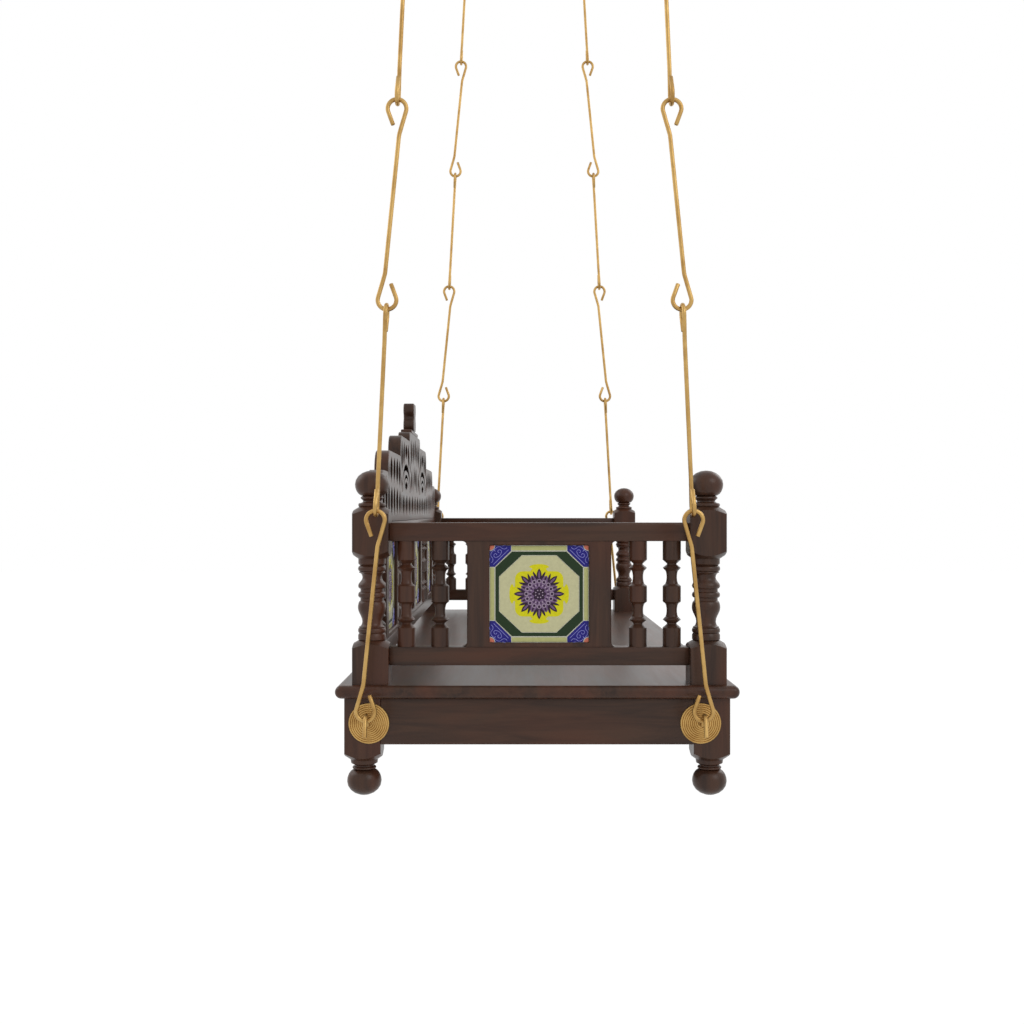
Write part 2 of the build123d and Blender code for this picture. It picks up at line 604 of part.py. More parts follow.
with BuildPart() as crest_board:
    with BuildSketch(Plane.XZ.offset(-BACK_POST_Y - BACK_THICK / 2)) as crest_face:
        with Locations((0, CREST_BASE)):
            for half_width, top, shoulder_r in CREST_STEPS:
                Rectangle(2 * half_width, top - TOP_RAIL_TOP, align=(Align.CENTER, Align.MIN))
        for half_width, top, shoulder_r in CREST_STEPS:
            shoulders = [corner for corner in crest_face.vertices()
                         if abs(abs(corner.X) - half_width) < 1 and abs(corner.Z - SEAT_TOP - top) < 1]
            fillet(shoulders, shoulder_r)
        with Locations((0, SEAT_TOP)):
            for corners in openings:
                Polygon(*corners, align=None, mode=Mode.SUBTRACT)
    extrude(amount=BACK_THICK)
crest_board.part.label = "crest_board"
export_step(crest_board.part, "parts/crest_board.step")

crest_top = SEAT_TOP + CREST_STEPS[0][1]
finial_base_top = crest_top + FINIAL_BASE_THICK
finial_side = [(half_width, finial_base_top + number * FINIAL_LOBE_HEIGHT + height)
               for number in range(FINIAL_LOBE_COUNT) for half_width, height in FINIAL_LOBE]
finial_side.append((FINIAL_LOBE[0][0], finial_base_top + FINIAL_LOBE_COUNT * FINIAL_LOBE_HEIGHT))
with BuildPart() as crest_finial:
    with BuildSketch(Plane.XY.offset(crest_top)):
        with Locations((0, BACK_POST_Y)):
            Rectangle(FINIAL_BASE_LENGTH, FINIAL_BASE_DEPTH)
    extrude(amount=FINIAL_BASE_THICK)
    with BuildSketch(Plane.XZ.offset(-BACK_POST_Y - FINIAL_THICK / 2)):
        Polygon(*finial_side, *[(-half_width, height) for half_width, height in finial_side[::-1]], align=None)
    extrude(amount=FINIAL_THICK)
crest_finial.part.label = "crest_finial"
export_step(crest_finial.part, "parts/crest_finial.step")
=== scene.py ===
"""Dresses the jhoola: turned and carved dark wood, brass rod chains and glazed tiles."""

import json
from itertools import chain
from math import asin, atan2, ceil, cos, degrees, pi, radians, sin, sqrt, tan

import bpy
from mathutils import Matrix, Vector


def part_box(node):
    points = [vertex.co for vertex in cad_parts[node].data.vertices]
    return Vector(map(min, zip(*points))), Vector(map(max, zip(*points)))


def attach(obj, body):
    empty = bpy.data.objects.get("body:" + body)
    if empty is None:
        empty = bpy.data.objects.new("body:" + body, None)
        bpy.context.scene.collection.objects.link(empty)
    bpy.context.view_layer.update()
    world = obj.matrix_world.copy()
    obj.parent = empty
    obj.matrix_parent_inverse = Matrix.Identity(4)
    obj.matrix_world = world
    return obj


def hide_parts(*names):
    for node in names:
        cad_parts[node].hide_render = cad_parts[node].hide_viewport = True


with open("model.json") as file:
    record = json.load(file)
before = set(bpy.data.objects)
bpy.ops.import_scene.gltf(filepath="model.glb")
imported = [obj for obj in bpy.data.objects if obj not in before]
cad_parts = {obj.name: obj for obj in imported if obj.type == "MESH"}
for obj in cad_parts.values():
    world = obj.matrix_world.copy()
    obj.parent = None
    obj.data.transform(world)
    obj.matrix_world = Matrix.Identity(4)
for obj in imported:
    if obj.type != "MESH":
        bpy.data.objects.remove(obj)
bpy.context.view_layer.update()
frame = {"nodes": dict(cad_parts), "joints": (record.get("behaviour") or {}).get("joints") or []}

bl_info = {
    "name": "Jhoola Swing",
    "version": (1, 0, 0),
    "blender": (4, 5, 0),
    "location": "View3D > Sidebar > Jhoola",
    "description": "Models the wood, brass and tiles of a jhoola swing round its frame",
    "category": "Add Mesh",
}

MM = 0.001
SEAT_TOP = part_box("seat_board")[1].z
SEAT_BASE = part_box("seat_board")[0].z
CORNERS = {
    "front_left": (-1, -1),
    "front_right": (1, -1),
    "back_left": (-1, 1),
    "back_right": (1, 1),
}
JOINTS = {joint["name"]: joint for joint in frame["joints"]}


# ---- Settings ---------------------------------------------------------------------------------
def length(name, description, millimetres):
    """A length setting in metres whose default is given in millimetres."""
    return bpy.props.FloatProperty(
        name=name, description=description, default=millimetres * MM, unit="LENGTH", precision=5
    )


def colour(name, description, red, green, blue):
    """A colour setting, given as a paint chart gives it, from 0 to 255."""
    linear = [((part / 255 + 0.055) / 1.055) ** 2.4 for part in (red, green, blue)]
    return bpy.props.FloatVectorProperty(
        name=name, description=description, default=linear, size=3, subtype="COLOR", min=0, max=1
    )


class JhoolaWood(bpy.types.PropertyGroup):
    """Sizes and colours of the wooden pieces."""

    stain: colour("Stain", "Colour of the stained wood", 67, 45, 33)
    grain: colour("Grain", "Colour of the dark grain", 44, 29, 22)
    figure: colour("Figure", "Colour of the redder figure in the boards", 84, 46, 30)
    post_width: length("Post width", "Side of the square blocks of posts and legs", 55.3)
    arris: length("Arris", "Rounding of the posts' square corners", 2.5)
    edge: length("Edge", "Rounding of the boards' and rails' edges", 1.6)


class JhoolaBrass(bpy.types.PropertyGroup):
    """Sizes and colours of the chains and their fittings."""

    metal: colour("Brass", "Colour of the satin brass", 196, 161, 100)
    tarnish: colour("Tarnish", "Colour of the duller brass", 170, 133, 78)
    rod_radius: length("Rod radius", "Radius of the links' rod", 3.25)
    hook_radius: length("Hook radius", "Rod centre line round each hook bolt's hook", 13.1)
    link_radius: length("Link radius", "Rod centre line round each link's hooks", 13.8)
    link_pitch: length("Link pitch", "One link, contact to contact", 304.95)
    rosette_radius: length("Rosette radius", "Outer radius of the ringed rosettes", 30.8)


class JhoolaTile(bpy.types.PropertyGroup):
    """Colours of the glazed tiles."""

    ground: colour("Ground", "Cream glaze inside the border", 192, 189, 148)
    strip: colour("Strip", "Yellow-green glaze of the side strips", 178, 178, 118)
    border: colour("Border", "Green glaze of the eight-sided border", 26, 48, 20)
    corner: colour("Corner", "Blue glaze of the corners", 28, 22, 118)
    scroll: colour("Scroll", "Paler blue glaze of the corners' scrolls", 138, 138, 206)
    line: colour("Line", "Pale glaze of the raised lines", 198, 198, 180)
    quarter: colour("Quarter disc", "Salmon glaze in the corners", 200, 112, 90)
    halo: colour("Halo", "Yellow glaze behind the rosette", 208, 202, 10)
    petal: colour("Petal", "Dark purple glaze of the petals", 44, 22, 48)
    petal_vein: colour("Petal vein", "Paler purple glaze inside the petals", 112, 86, 122)
    lace: colour("Lace", "Lilac glaze of the rosette's middle", 168, 152, 168)


# ---- Working with pieces ----------------------------------------------------------------------
def deselect():
    """Leaves nothing selected, in object mode."""
    if bpy.context.mode != "OBJECT":
        bpy.ops.object.mode_set(mode="OBJECT")
    bpy.ops.object.select_all(action="DESELECT")


def pick(*pieces):
    """Selects only these pieces and makes the last one active."""
    deselect()
    for piece in pieces:
        piece.select_set(True)
    bpy.context.view_layer.objects.active = pieces[-1]


def close_up(threshold=1e-6):
    """Merges points that meet, turns the faces outwards and leaves edit mode."""
    bpy.ops.mesh.select_all(action="SELECT")
    bpy.ops.mesh.remove_doubles(threshold=threshold)
    bpy.ops.mesh.normals_make_consistent(inside=False)
    bpy.ops.object.mode_set(mode="OBJECT")


def settle(piece, angle=30):
    """Applies a piece's place, turns its faces outwards and smooths its soft edges."""
    pick(piece)
    bpy.ops.object.transform_apply(location=True, rotation=True, scale=True)
    bpy.ops.object.mode_set(mode="EDIT")
    close_up()
    bpy.ops.object.shade_smooth_by_angle(angle=radians(angle))
    return piece


def apply_modifier(piece, kind, **values):
    """Adds one modifier with these values and applies it."""
    pick(piece)
    modifier = piece.modifiers.new(kind.title(), kind)
    for name, value in values.items():
        setattr(modifier, name, value)
    bpy.ops.object.modifier_apply(modifier=modifier.name)


def copy_of(piece, place):
    """A copy with its own mesh, moved by a matrix."""
    twin = piece.copy()
    twin.data = piece.data.copy()
    bpy.context.scene.collection.objects.link(twin)
    twin.matrix_world = place
    return twin


def join(*pieces):
    """Several pieces as one."""
    pick(*pieces)
    bpy.ops.object.join()
    return bpy.context.view_layer.objects.active


def discard(*pieces):
    """Deletes patterns that have been copied."""
    pick(*pieces)
    bpy.ops.object.delete()


def dress(piece, name, material, body, slot, *nodes):
    """Names a finished piece, paints it and lets it stand for its nodes on a body."""
    piece.name = name
    if material:
        piece.data.materials.clear()
        piece.data.materials.append(material)
    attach(piece, body)
    if nodes:
        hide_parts(*nodes)
    return piece


def block(low, high):
    """A block between two opposite corners."""
    deselect()
    bpy.ops.mesh.primitive_cube_add(size=1, location=(low + high) / 2, scale=high - low)
    piece = bpy.context.active_object
    bpy.ops.object.transform_apply(location=True, scale=True)
    return piece


def bevel_edges(piece, offset, segments, chosen):
    """Rounds the edges of the active piece that are chosen by their two ends."""
    bpy.ops.object.mode_set(mode="EDIT")
    bpy.ops.mesh.select_all(action="DESELECT")
    bpy.ops.object.mode_set(mode="OBJECT")
    for edge in piece.data.edges:
        start, end = (piece.data.vertices[number].co for number in edge.vertices)
        edge.select = chosen(start, end)
    bpy.ops.object.mode_set(mode="EDIT")
    bpy.ops.mesh.bevel(offset=offset, segments=segments, affect="EDGES")
    bpy.ops.object.mode_set(mode="OBJECT")


def extrude(step):
    """Draws what is selected on by a step."""
    bpy.ops.mesh.extrude_region_move(TRANSFORM_OT_translate={"value": step})


def node_copy(node, edge):
    """A CAD node's mesh, merged into whole faces, with its edges softly rounded."""
    source = frame["nodes"][node]
    piece = bpy.data.objects.new(node + "_soft", source.data.copy())
    bpy.context.scene.collection.objects.link(piece)
    pick(piece)
    bpy.ops.object.mode_set(mode="EDIT")
    bpy.ops.mesh.select_all(action="SELECT")
    bpy.ops.mesh.remove_doubles(threshold=1e-5)
    bpy.ops.mesh.dissolve_limited(angle_limit=radians(0.5))
    bpy.ops.object.mode_set(mode="OBJECT")
    apply_modifier(piece, "BEVEL", width=edge, segments=2, angle_limit=radians(30))
    bpy.ops.object.shade_smooth_by_angle(angle=radians(30))
    return piece


# ---- Outlines and plates ----------------------------------------------------------------------
# A point of an outline is (x, y, handle before it, handle after it) in millimetres, the handles
# measured from the point, and None where the outline runs straight.
UPRIGHT_X = Matrix.Rotation(pi / 2, 4, "X")  # stands a plate on edge, along X
UPRIGHT_Y = Matrix.Rotation(pi / 2, 4, "Z") @ UPRIGHT_X  # and along Y


def corner(x, y):
    """A sharp point of an outline."""
    return (x, y, None, None)


def arc(middle, radii, start, end):
    """A stretch of a circle or ellipse between two angles in degrees."""
    count = ceil(abs(end - start) / 90)
    step = radians(end - start) / count
    pull = 4 / 3 * tan(step / 4)
    points = []
    for number in range(count + 1):
        turn = radians(start) + number * step
        ahead = (-radii[0] * sin(turn) * pull, radii[1] * cos(turn) * pull)
        behind = (-ahead[0], -ahead[1])
        place = (middle[0] + radii[0] * cos(turn), middle[1] + radii[1] * sin(turn))
        points.append((*place, behind if number else None, ahead if number < count else None))
    return points


def circle(x, y, radius):
    """A round outline."""
    points = arc((x, y), (radius, radius), 0, 360)
    return [(*points[0][:2], points[-1][2], points[0][3])] + points[1:-1]


def leaf(foot_x, low, high, width, lean):
    """A pointed leaf: a foot and a tip whose handles swell its sides."""
    rise = (high - low) / 3
    swell = width / 1.5
    return [
        (foot_x, low, (lean / 3 - swell, rise), (lean / 3 + swell, rise)),
        (foot_x + lean, high, (swell - lean / 3, -rise), (-swell - lean / 3, -rise)),
    ]


def rounded_rectangle(width, height, radius, x=0, y=0):
    """A rectangle with round corners."""
    across, up = width / 2 - radius, height / 2 - radius
    places = ((across, up), (-across, up), (-across, -up), (across, -up))
    arcs = []
    for number, (px, py) in enumerate(places):
        arcs.append(arc((x + px, y + py), (radius, radius), 90 * number, 90 * number + 90))
    return outline(*arcs)


def mirrored(points):
    """The same points mirrored, in the order that goes on round an outline."""
    turned_over = []
    for x, y, before, after in reversed(points):
        new_before, new_after = (handle and (-handle[0], handle[1]) for handle in (after, before))
        turned_over.append((-x, y, new_before, new_after))
    return turned_over


def outline(*stretches):
    """One outline from stretches that may share their ends."""
    points = []
    for x, y, before, after in chain(*stretches):
        if points and abs(points[-1][0] - x) + abs(points[-1][1] - y) < 1e-4:
            points[-1] = (x, y, points[-1][2], after)
        else:
            points.append((x, y, before, after))
    return points


def mesh_from(name, curve, height=0, angle=30):
    """A finished mesh from a curve drawn in millimetres."""
    piece = bpy.data.objects.new(name, curve)
    bpy.context.scene.collection.objects.link(piece)
    piece.location.z = height * MM
    piece.scale = (MM, MM, MM)
    pick(piece)
    bpy.ops.object.convert(target="MESH")
    return settle(bpy.context.active_object, angle)


def plate(outlines, low, high, edge, bend=6):
    """A flat plate about Z from an outline and its openings, its edges cut back a little."""
    curve = bpy.data.curves.new("plate", "CURVE")
    curve.dimensions = "2D"
    curve.fill_mode = "BOTH"
    curve.resolution_u = bend
    curve.extrude = (high - low) / 2 - edge
    curve.bevel_depth = edge
    curve.bevel_resolution = 0
    curve.offset = -edge
    for points in outlines:
        spline = curve.splines.new("BEZIER")
        spline.use_cyclic_u = True
        spline.bezier_points.add(len(points) - 1)
        for knot, (x, y, before, after) in zip(spline.bezier_points, points):
            knot.co = (x, y, 0)
            knot.handle_left_type = "FREE" if before else "VECTOR"
            knot.handle_right_type = "FREE" if after else "VECTOR"
            if before:
                knot.handle_left = (x + before[0], y + before[1], 0)
            if after:
                knot.handle_right = (x + after[0], y + after[1], 0)
    return mesh_from("plate", curve, (low + high) / 2)


# ---- Turning on the lathe ---------------------------------------------------------------------
def eased(stations, steps):
    """Outline points through (kind, radius, height) stations: only the sharp ones have a crease."""
    points = [stations[0][1:]]
    for (kind_a, r_a, h_a), (kind_b, r_b, h_b) in zip(stations, stations[1:]):
        straight = r_a == r_b or (kind_a == kind_b == "sharp")
        for number in range(1, (1 if straight else steps) + 1):
            turn = number / steps * pi / 2
            if straight:
                points.append((r_b, h_b))
            elif kind_a == kind_b:
                share = number / steps
                ease = (1 - cos(share * pi)) / 2
                points.append((r_a + (r_b - r_a) * ease, h_a + (h_b - h_a) * share))
            elif kind_a == "round":
                points.append((r_a + (r_b - r_a) * (1 - cos(turn)), h_a + (h_b - h_a) * sin(turn)))
            else:
                points.append((r_b + (r_a - r_b) * (1 - sin(turn)), h_b + (h_a - h_b) * cos(turn)))
    return points


def turned(stations, around=48, steps=5):
    """A closed solid of revolution about Z, its profile drawn point by point and spun."""
    points = [(radius * MM, height * MM) for radius, height in eased(stations, steps)]
    if points[0][0] > 0:
        points.insert(0, (0.0, points[0][1]))
    if points[-1][0] > 0:
        points.append((0.0, points[-1][1]))
    deselect()
    bpy.ops.mesh.primitive_plane_add(size=1, location=(0, 0, 0))
    piece = bpy.context.active_object
    bpy.ops.object.mode_set(mode="EDIT")
    bpy.ops.mesh.select_all(action="SELECT")
    bpy.ops.mesh.merge(type="CENTER")
    bpy.ops.transform.translate(value=(points[0][0], 0, points[0][1]))
    for (r_a, h_a), (r_b, h_b) in zip(points, points[1:]):
        extrude((r_b - r_a, 0, h_b - h_a))
    bpy.ops.mesh.select_all(action="SELECT")
    bpy.ops.mesh.spin(steps=around, angle=2 * pi, center=(0, 0, 0), axis=(0, 0, 1))
    close_up(2e-6)
    return piece


def square_cut(piece, side, arris):
    """Cuts a turned piece's blocks square, with rounded arrises."""
    half = Vector((side, side, CUTTER_HEIGHT)) / 2
    cutter = block(-half, half)
    bevel_edges(cutter, arris, 4, lambda start, end: abs(start.z - end.z) > side)
    apply_modifier(piece, "BOOLEAN", operation="INTERSECT", object=cutter, solver="EXACT")
    discard(cutter)
    return piece


CUTTER_HEIGHT = 1.2  # half of it reaches past a post's top and a leg's foot
# Stations of the turned profiles: whether the curve is creased or round there, the radius, and the
# height in millimetres, from the seat board for a post or leg and from its foot for a spindle.
BLOCK = 41.0  # turned radius of the blocks, just outside the corners they are cut to
POST = [
    ("sharp", BLOCK, 0), ("sharp", BLOCK, 53.5), ("sharp", 19.5, 66), ("sharp", 21.3, 66.7),
    ("sharp", 21.3, 73.6), ("sharp", 19.4, 76.7), ("round", 21.4, 79.8), ("sharp", 19.3, 84.4),
    ("sharp", 20, 85.9), ("round", 15, 94.3), ("round", 21.6, 115), ("sharp", 17.8, 125.7),
    ("sharp", 17.8, 130.3), ("round", 21.3, 134.2), ("sharp", 17.8, 139.5), ("sharp", 17.8, 144.1),
    ("round", 21.3, 148.7), ("round", 14.7, 161), ("sharp", 20.2, 168.6), ("sharp", 18.9, 170.9),
    ("round", 21.4, 174.7), ("sharp", 18, 179.3), ("sharp", 21, 182.4), ("sharp", 21, 190),
    ("sharp", BLOCK, 203.5), ("sharp", BLOCK, 256.5), ("sharp", 19.5, 269.3),
    ("round", 21.1, 272), ("sharp", 19, 275), ("round", 13.9, 278.2), ("round", 17.5, 282.8),
    ("sharp", 13.5, 285.8), ("round", 26.1, 303.8), ("sharp", 0, 324.9),
]
LEG = [
    ("sharp", 0, -151.4), ("round", 26.3, -130), ("sharp", 13.5, -111.7), ("round", 18.2, -109.2),
    ("sharp", 15, -106.8), ("sharp", 14.5, -105), ("sharp", 20.2, -102), ("sharp", 21, -96.4),
    ("sharp", BLOCK, -82.5), ("sharp", BLOCK, 0),
]
SPINDLE_HALF = [
    ("sharp", 13.9, 0), ("sharp", 13.9, 28.6), ("sharp", 7.4, 34.4), ("sharp", 7.4, 35.8),
    ("sharp", 13.8, 40.9), ("sharp", 10.8, 44.4), ("round", 7.9, 55.4), ("sharp", 12, 67),
    ("sharp", 13.9, 68.8),
]
SPINDLE_LENGTH = 161.2


class JHOOLA_OT_posts(bpy.types.Operator):
    """Turns the four posts and the four legs, and cuts their blocks square"""

    bl_idname = "jhoola.posts"
    bl_label = "Posts and Legs"

    def execute(self, context):
        """One post and one leg are turned, and each is copied to its four corners."""
        settings = context.scene.jhoola_wood
        for kind, stations in (("post", POST), ("leg", LEG)):
            pattern = square_cut(turned(stations), settings.post_width, settings.arris)
            settle(pattern, 32)
            for corner_name in CORNERS:
                node = f"{corner_name}_{kind}"
                low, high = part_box(node)
                foot = SEAT_TOP if kind == "post" else SEAT_BASE
                place = Matrix.Translation(((low.x + high.x) / 2, (low.y + high.y) / 2, foot))
                twin = settle(copy_of(pattern, place), 32)
                name = f"{corner_name}_turned_{kind}"
                dress(twin, name, wood("upright", 2), "seat", "wood", node)
            discard(pattern)
        return {"FINISHED"}


class JHOOLA_OT_spindles(bpy.types.Operator):
    """Turns the spindles of the arms and the back"""

    bl_idname = "jhoola.spindles"
    bl_label = "Spindles"

    def execute(self, context):
        """The upper half of a spindle is its lower half turned over."""
        upper = [
            (kind, radius, SPINDLE_LENGTH - height)
            for kind, radius, height in reversed(SPINDLE_HALF)
        ]
        pattern = settle(turned(SPINDLE_HALF + upper, around=32), 32)
        for node in ("left_arm_spindles", "right_arm_spindles", "back_spindles"):
            for number, middle in enumerate(solid_middles(node), 1):
                place = Matrix.Translation((middle.x, middle.y, middle.z - SPINDLE_LENGTH * MM / 2))
                twin = settle(copy_of(pattern, place), 32)
                dress(twin, f"{node[:-1]}_{number}", wood("upright", 2), "seat", "wood", node)
        discard(pattern)
        return {"FINISHED"}


def solid_middles(node):
    """The middle of each separate solid of a CAD node, in order along X and then Y."""
    source = frame["nodes"][node].data
    parent = list(range(len(source.vertices)))

    def root(number):
        """The vertex that stands for all those joined to this one."""
        while parent[number] != number:
            parent[number] = parent[parent[number]]
            number = parent[number]
        return number

    by_place = {}
    for vertex in source.vertices:
        key = tuple(round(part, 6) for part in vertex.co)
        parent[root(vertex.index)] = root(by_place.setdefault(key, vertex.index))
    for edge in source.edges:
        parent[root(edge.vertices[0])] = root(edge.vertices[1])
    groups = {}
    for vertex in source.vertices:
        groups.setdefault(root(vertex.index), []).append(vertex.co)
    middles = []
    for points in groups.values():
        low = Vector(min(point[axis] for point in points) for axis in range(3))
        high = Vector(max(point[axis] for point in points) for axis in range(3))
        middles.append((low + high) / 2)
    return sorted(middles, key=lambda middle: (round(middle.x, 4), round(middle.y, 4)))


# ---- Boards and rails -------------------------------------------------------------------------
# Each rail or board: the way its grain runs (0 along X, 1 along Y) and the rounding of its upper
# long edges in millimetres.
BARS = {
    "front_apron": (0, 0), "back_apron": (0, 0), "left_apron": (1, 0), "right_apron": (1, 0),
    "back_top_rail": (0, 0), "back_low_rail": (0, 3), "left_arm_top_rail": (1, 3),
    "right_arm_top_rail": (1, 3), "left_arm_low_rail": (1, 0), "right_arm_low_rail": (1, 0),
}
TILE_WIDTH = 152.4
TILE_HEIGHT = 149.0
OPENING_ROUND = 4.0
SHOULDER = 8.0  # where a tile board's edge sweeps out into the rails
HOUSED = 2.0  # depth of the boards' ends in the rails
BACK_TILE_X = 92.0
BOARD_EDGE = 1.4
BOARD_THINNER = 0.4  # than the frame's board
SMALL_EDGE = 0.8 * MM  # of the battens and the tiles' backings
LONG_EDGE = 200 * MM  # more than any bar is wide, and less than any is long


def bar(node, upper, edge):
    """A straight board whose upper long edges may be rounded more than the others."""
    low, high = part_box(node)
    piece = block(low, high)

    def upper_and_long(start, end):
        """Whether an edge is one of the two long ones on top."""
        return min(start.z, end.z) > high.z - MM and (start - end).length > LONG_EDGE

    if upper:
        bevel_edges(piece, upper * MM, 4, upper_and_long)
    apply_modifier(piece, "BEVEL", width=edge, segments=2, angle_limit=radians(50))
    return settle(piece, 35)


def tile_board(length, height, thick, places):
    """A board with rounded openings for its tiles, its corners swept out into both rails."""
    out, up = length / 2 + SHOULDER, height / 2
    sweep = outline(
        [corner(out, up + HOUSED)], arc((out, up - SHOULDER), (SHOULDER, SHOULDER), 90, 180),
        arc((out, SHOULDER - up), (SHOULDER, SHOULDER), 180, 270), [corner(out, -up - HOUSED)],
    )
    opening = (TILE_WIDTH, TILE_HEIGHT, OPENING_ROUND)
    openings = [rounded_rectangle(*opening, x=place) for place in places]
    return plate([outline(sweep, mirrored(sweep)), *openings], -thick / 2, thick / 2, BOARD_EDGE)


class JHOOLA_OT_boards(bpy.types.Operator):
    """Makes the rails, the aprons and the boards that hold the tiles"""

    bl_idname = "jhoola.boards"
    bl_label = "Rails and Boards"

    def execute(self, context):
        """Rails are straight bars, and tile boards are cut out round their tiles."""
        edge = context.scene.jhoola_wood.edge
        for node, (direction, upper) in BARS.items():
            grain = wood("along", direction)
            dress(bar(node, upper, edge), node + "_eased", grain, "seat", "wood", node)
        for node in ("seat_battens", "back_tile_backings"):
            piece = node_copy(node, SMALL_EDGE)
            dress(piece, node + "_eased", wood("along", 1), "seat", "wood", node)
        for node, places, along, direction in (
            ("left_arm_tile_board", [0], UPRIGHT_Y, 1), ("right_arm_tile_board", [0], UPRIGHT_Y, 1),
            ("back_left_board", [0], UPRIGHT_X, 0), ("back_right_board", [0], UPRIGHT_X, 0),
            ("back_middle_board", [-BACK_TILE_X, BACK_TILE_X], UPRIGHT_X, 0),
        ):
            low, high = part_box(node)
            size = (high - low) / MM
            straight_length = max(size.x, size.y) - 2 * SHOULDER
            thick = min(size.x, size.y) - BOARD_THINNER
            piece = tile_board(straight_length, size.z, thick, places)
            piece.matrix_world = Matrix.Translation((low + high) / 2) @ along
            dress(settle(piece), node + "_cut", wood("upright", 2), "seat", "wood", node)
        return {"FINISHED"}


# ---- Crest ------------------------------------------------------------------------------------
# Each step: half its width, its top above the seat and the radius of its rounded shoulder.
CREST_STEPS = ((139, 421, 18), (336, 402.3, 28), (563, 364, 34), (666, 328, 34))
CREST_FOOT = 245.2
ARCH_X = 213
ARCH_FOOT = 300
ARCHES = ((86, 52, 11), (58, 34, 9))  # half width, rise, opening at the crown
# Each leaf: its foot from the crest's middle, foot and tip above the seat, width, sideways lean.
# They are fuller than the frame's straight-sided openings, and small ones fill the gaps.
MIDDLE_LEAVES = ((0, 255, 293, 36, 0), (0, 308, 348, 27, 0), (0, 362, 412, 34, 0))
PAIRED_LEAVES = (
    (68, 255, 293, 38, 0), (136, 255, 293, 38, 0), (204, 255, 293, 38, 0), (270, 255, 293, 38, 0),
    (40, 302, 354, 20, -16), (80, 302, 346, 28, 6), (50, 358, 406, 34, 0), (96, 354, 406, 32, 4),
    (213, 303, 319, 56, 0), (213, 361, 390, 46, 0), (158, 347, 393, 34, 8), (268, 347, 393, 34, -8),
    (306, 336, 392, 32, 0), (350, 256, 298, 36, 0), (352, 306, 354, 36, 4), (402, 256, 302, 40, 0),
    (402, 310, 356, 42, 0), (452, 256, 304, 34, 4), (456, 312, 355, 38, -4), (502, 256, 304, 38, 0),
    (508, 312, 354, 40, -2), (548, 256, 308, 30, 0), (590, 256, 320, 34, 0), (634, 256, 304, 30, 0),
    (34, 261, 287, 12, 0), (102, 261, 287, 12, 0), (170, 261, 287, 12, 0), (237, 261, 287, 12, 0),
    (310, 258, 294, 22, 0), (312, 305, 328, 13, 0), (112, 300, 332, 14, -4), (122, 338, 362, 13, 8),
    (550, 316, 344, 14, -2),
)
FINIAL_SIDE = (
    (20, 8, None, (6, 3)), (28, 22, (0, -7), (0, 7)), (21, 37, (0, -5), (0, 5)),
    (28, 51, (0, -7), (0, 6)), (17, 66, (6, 0), None),
)
FINIAL_BASE_THICK = 8
FINIAL_EDGE = 1.6
FINIAL_THINNER = 0.4  # than its foot
CREST_EDGE = 1.2
OPENING_REACH = 20 * MM


def crest_arch(half_width, rise, opening):
    """An arched opening that thins towards its feet."""
    middle = (ARCH_X, ARCH_FOOT)
    outer = arc(middle, (half_width, rise), 0, 180)
    inner = arc(middle, (half_width - opening / 2, rise - opening), 180, 0)
    return outer + inner


def in_opening(face):
    """Whether a face looks across an opening, so that the crest goes on beyond it."""
    ahead = face.center + face.normal * OPENING_REACH
    across, height = abs(ahead.x) / MM, (ahead.z - SEAT_TOP) / MM
    inside = any(across < half_width and height < top for half_width, top, _ in CREST_STEPS)
    # A side wall of an opening, which gets the painted shade.
    sawn = abs(face.normal.y) < 0.3
    return sawn and height > CREST_FOOT and inside


class JHOOLA_OT_crest(bpy.types.Operator):
    """Saws the stepped crest with its fretwork, and the finial on top of it"""

    bl_idname = "jhoola.crest"
    bl_label = "Crest"

    def execute(self, context):
        """The crest's right half is drawn and mirrored, as are its openings."""
        side = []
        floor = CREST_FOOT
        for half_width, top, shoulder in reversed(CREST_STEPS):
            side += [corner(half_width, floor)]
            side += arc((half_width - shoulder, top - shoulder), (shoulder, shoulder), 0, 90)
            floor = top
        half = [leaf(*values) for values in PAIRED_LEAVES]
        half += [crest_arch(*values) for values in ARCHES]
        openings = [leaf(*values) for values in MIDDLE_LEAVES] + half
        openings += [mirrored(points) for points in half]
        low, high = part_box("crest_board")
        thick = (high.y - low.y) / MM
        crest = plate([side + mirrored(side), *openings], -thick / 2, thick / 2, CREST_EDGE)
        middle_y = (low.y + high.y) / 2
        crest.matrix_world = Matrix.Translation((0, middle_y, SEAT_TOP)) @ UPRIGHT_X
        settle(crest)
        dress(crest, "crest_fretwork", wood("along", 0), "seat", "wood", "crest_board")
        # The walls of the openings get a second wood, darkened as painted shade.
        crest.data.materials.append(wood("sawn", 0))
        for face in crest.data.polygons:
            face.material_index = 1 if in_opening(face) else 0

        low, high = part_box("crest_finial")
        foot_thick = (high.y - low.y) / MM
        thick = foot_thick - FINIAL_THINNER
        lobes = list(FINIAL_SIDE)
        finial = plate([lobes + mirrored(lobes)], -thick / 2, thick / 2, FINIAL_EDGE, bend=10)
        base_length = (high.x - low.x) / MM
        foot = plate(
            [rounded_rectangle(base_length, FINIAL_BASE_THICK, 2, y=FINIAL_BASE_THICK / 2)],
            -foot_thick / 2, foot_thick / 2, FINIAL_EDGE,
        )
        finial = join(finial, foot)
        finial.matrix_world = Matrix.Translation((0, (low.y + high.y) / 2, low.z)) @ UPRIGHT_X
        settle(finial)
        dress(finial, "crest_finial_carved", wood("upright", 2), "seat", "wood", "crest_finial")
        return {"FINISHED"}


# ---- Seat board -------------------------------------------------------------------------------
SEAT_END_ROUND = 5 * MM
BULLNOSE_SHARE = 0.49  # of the board's thickness


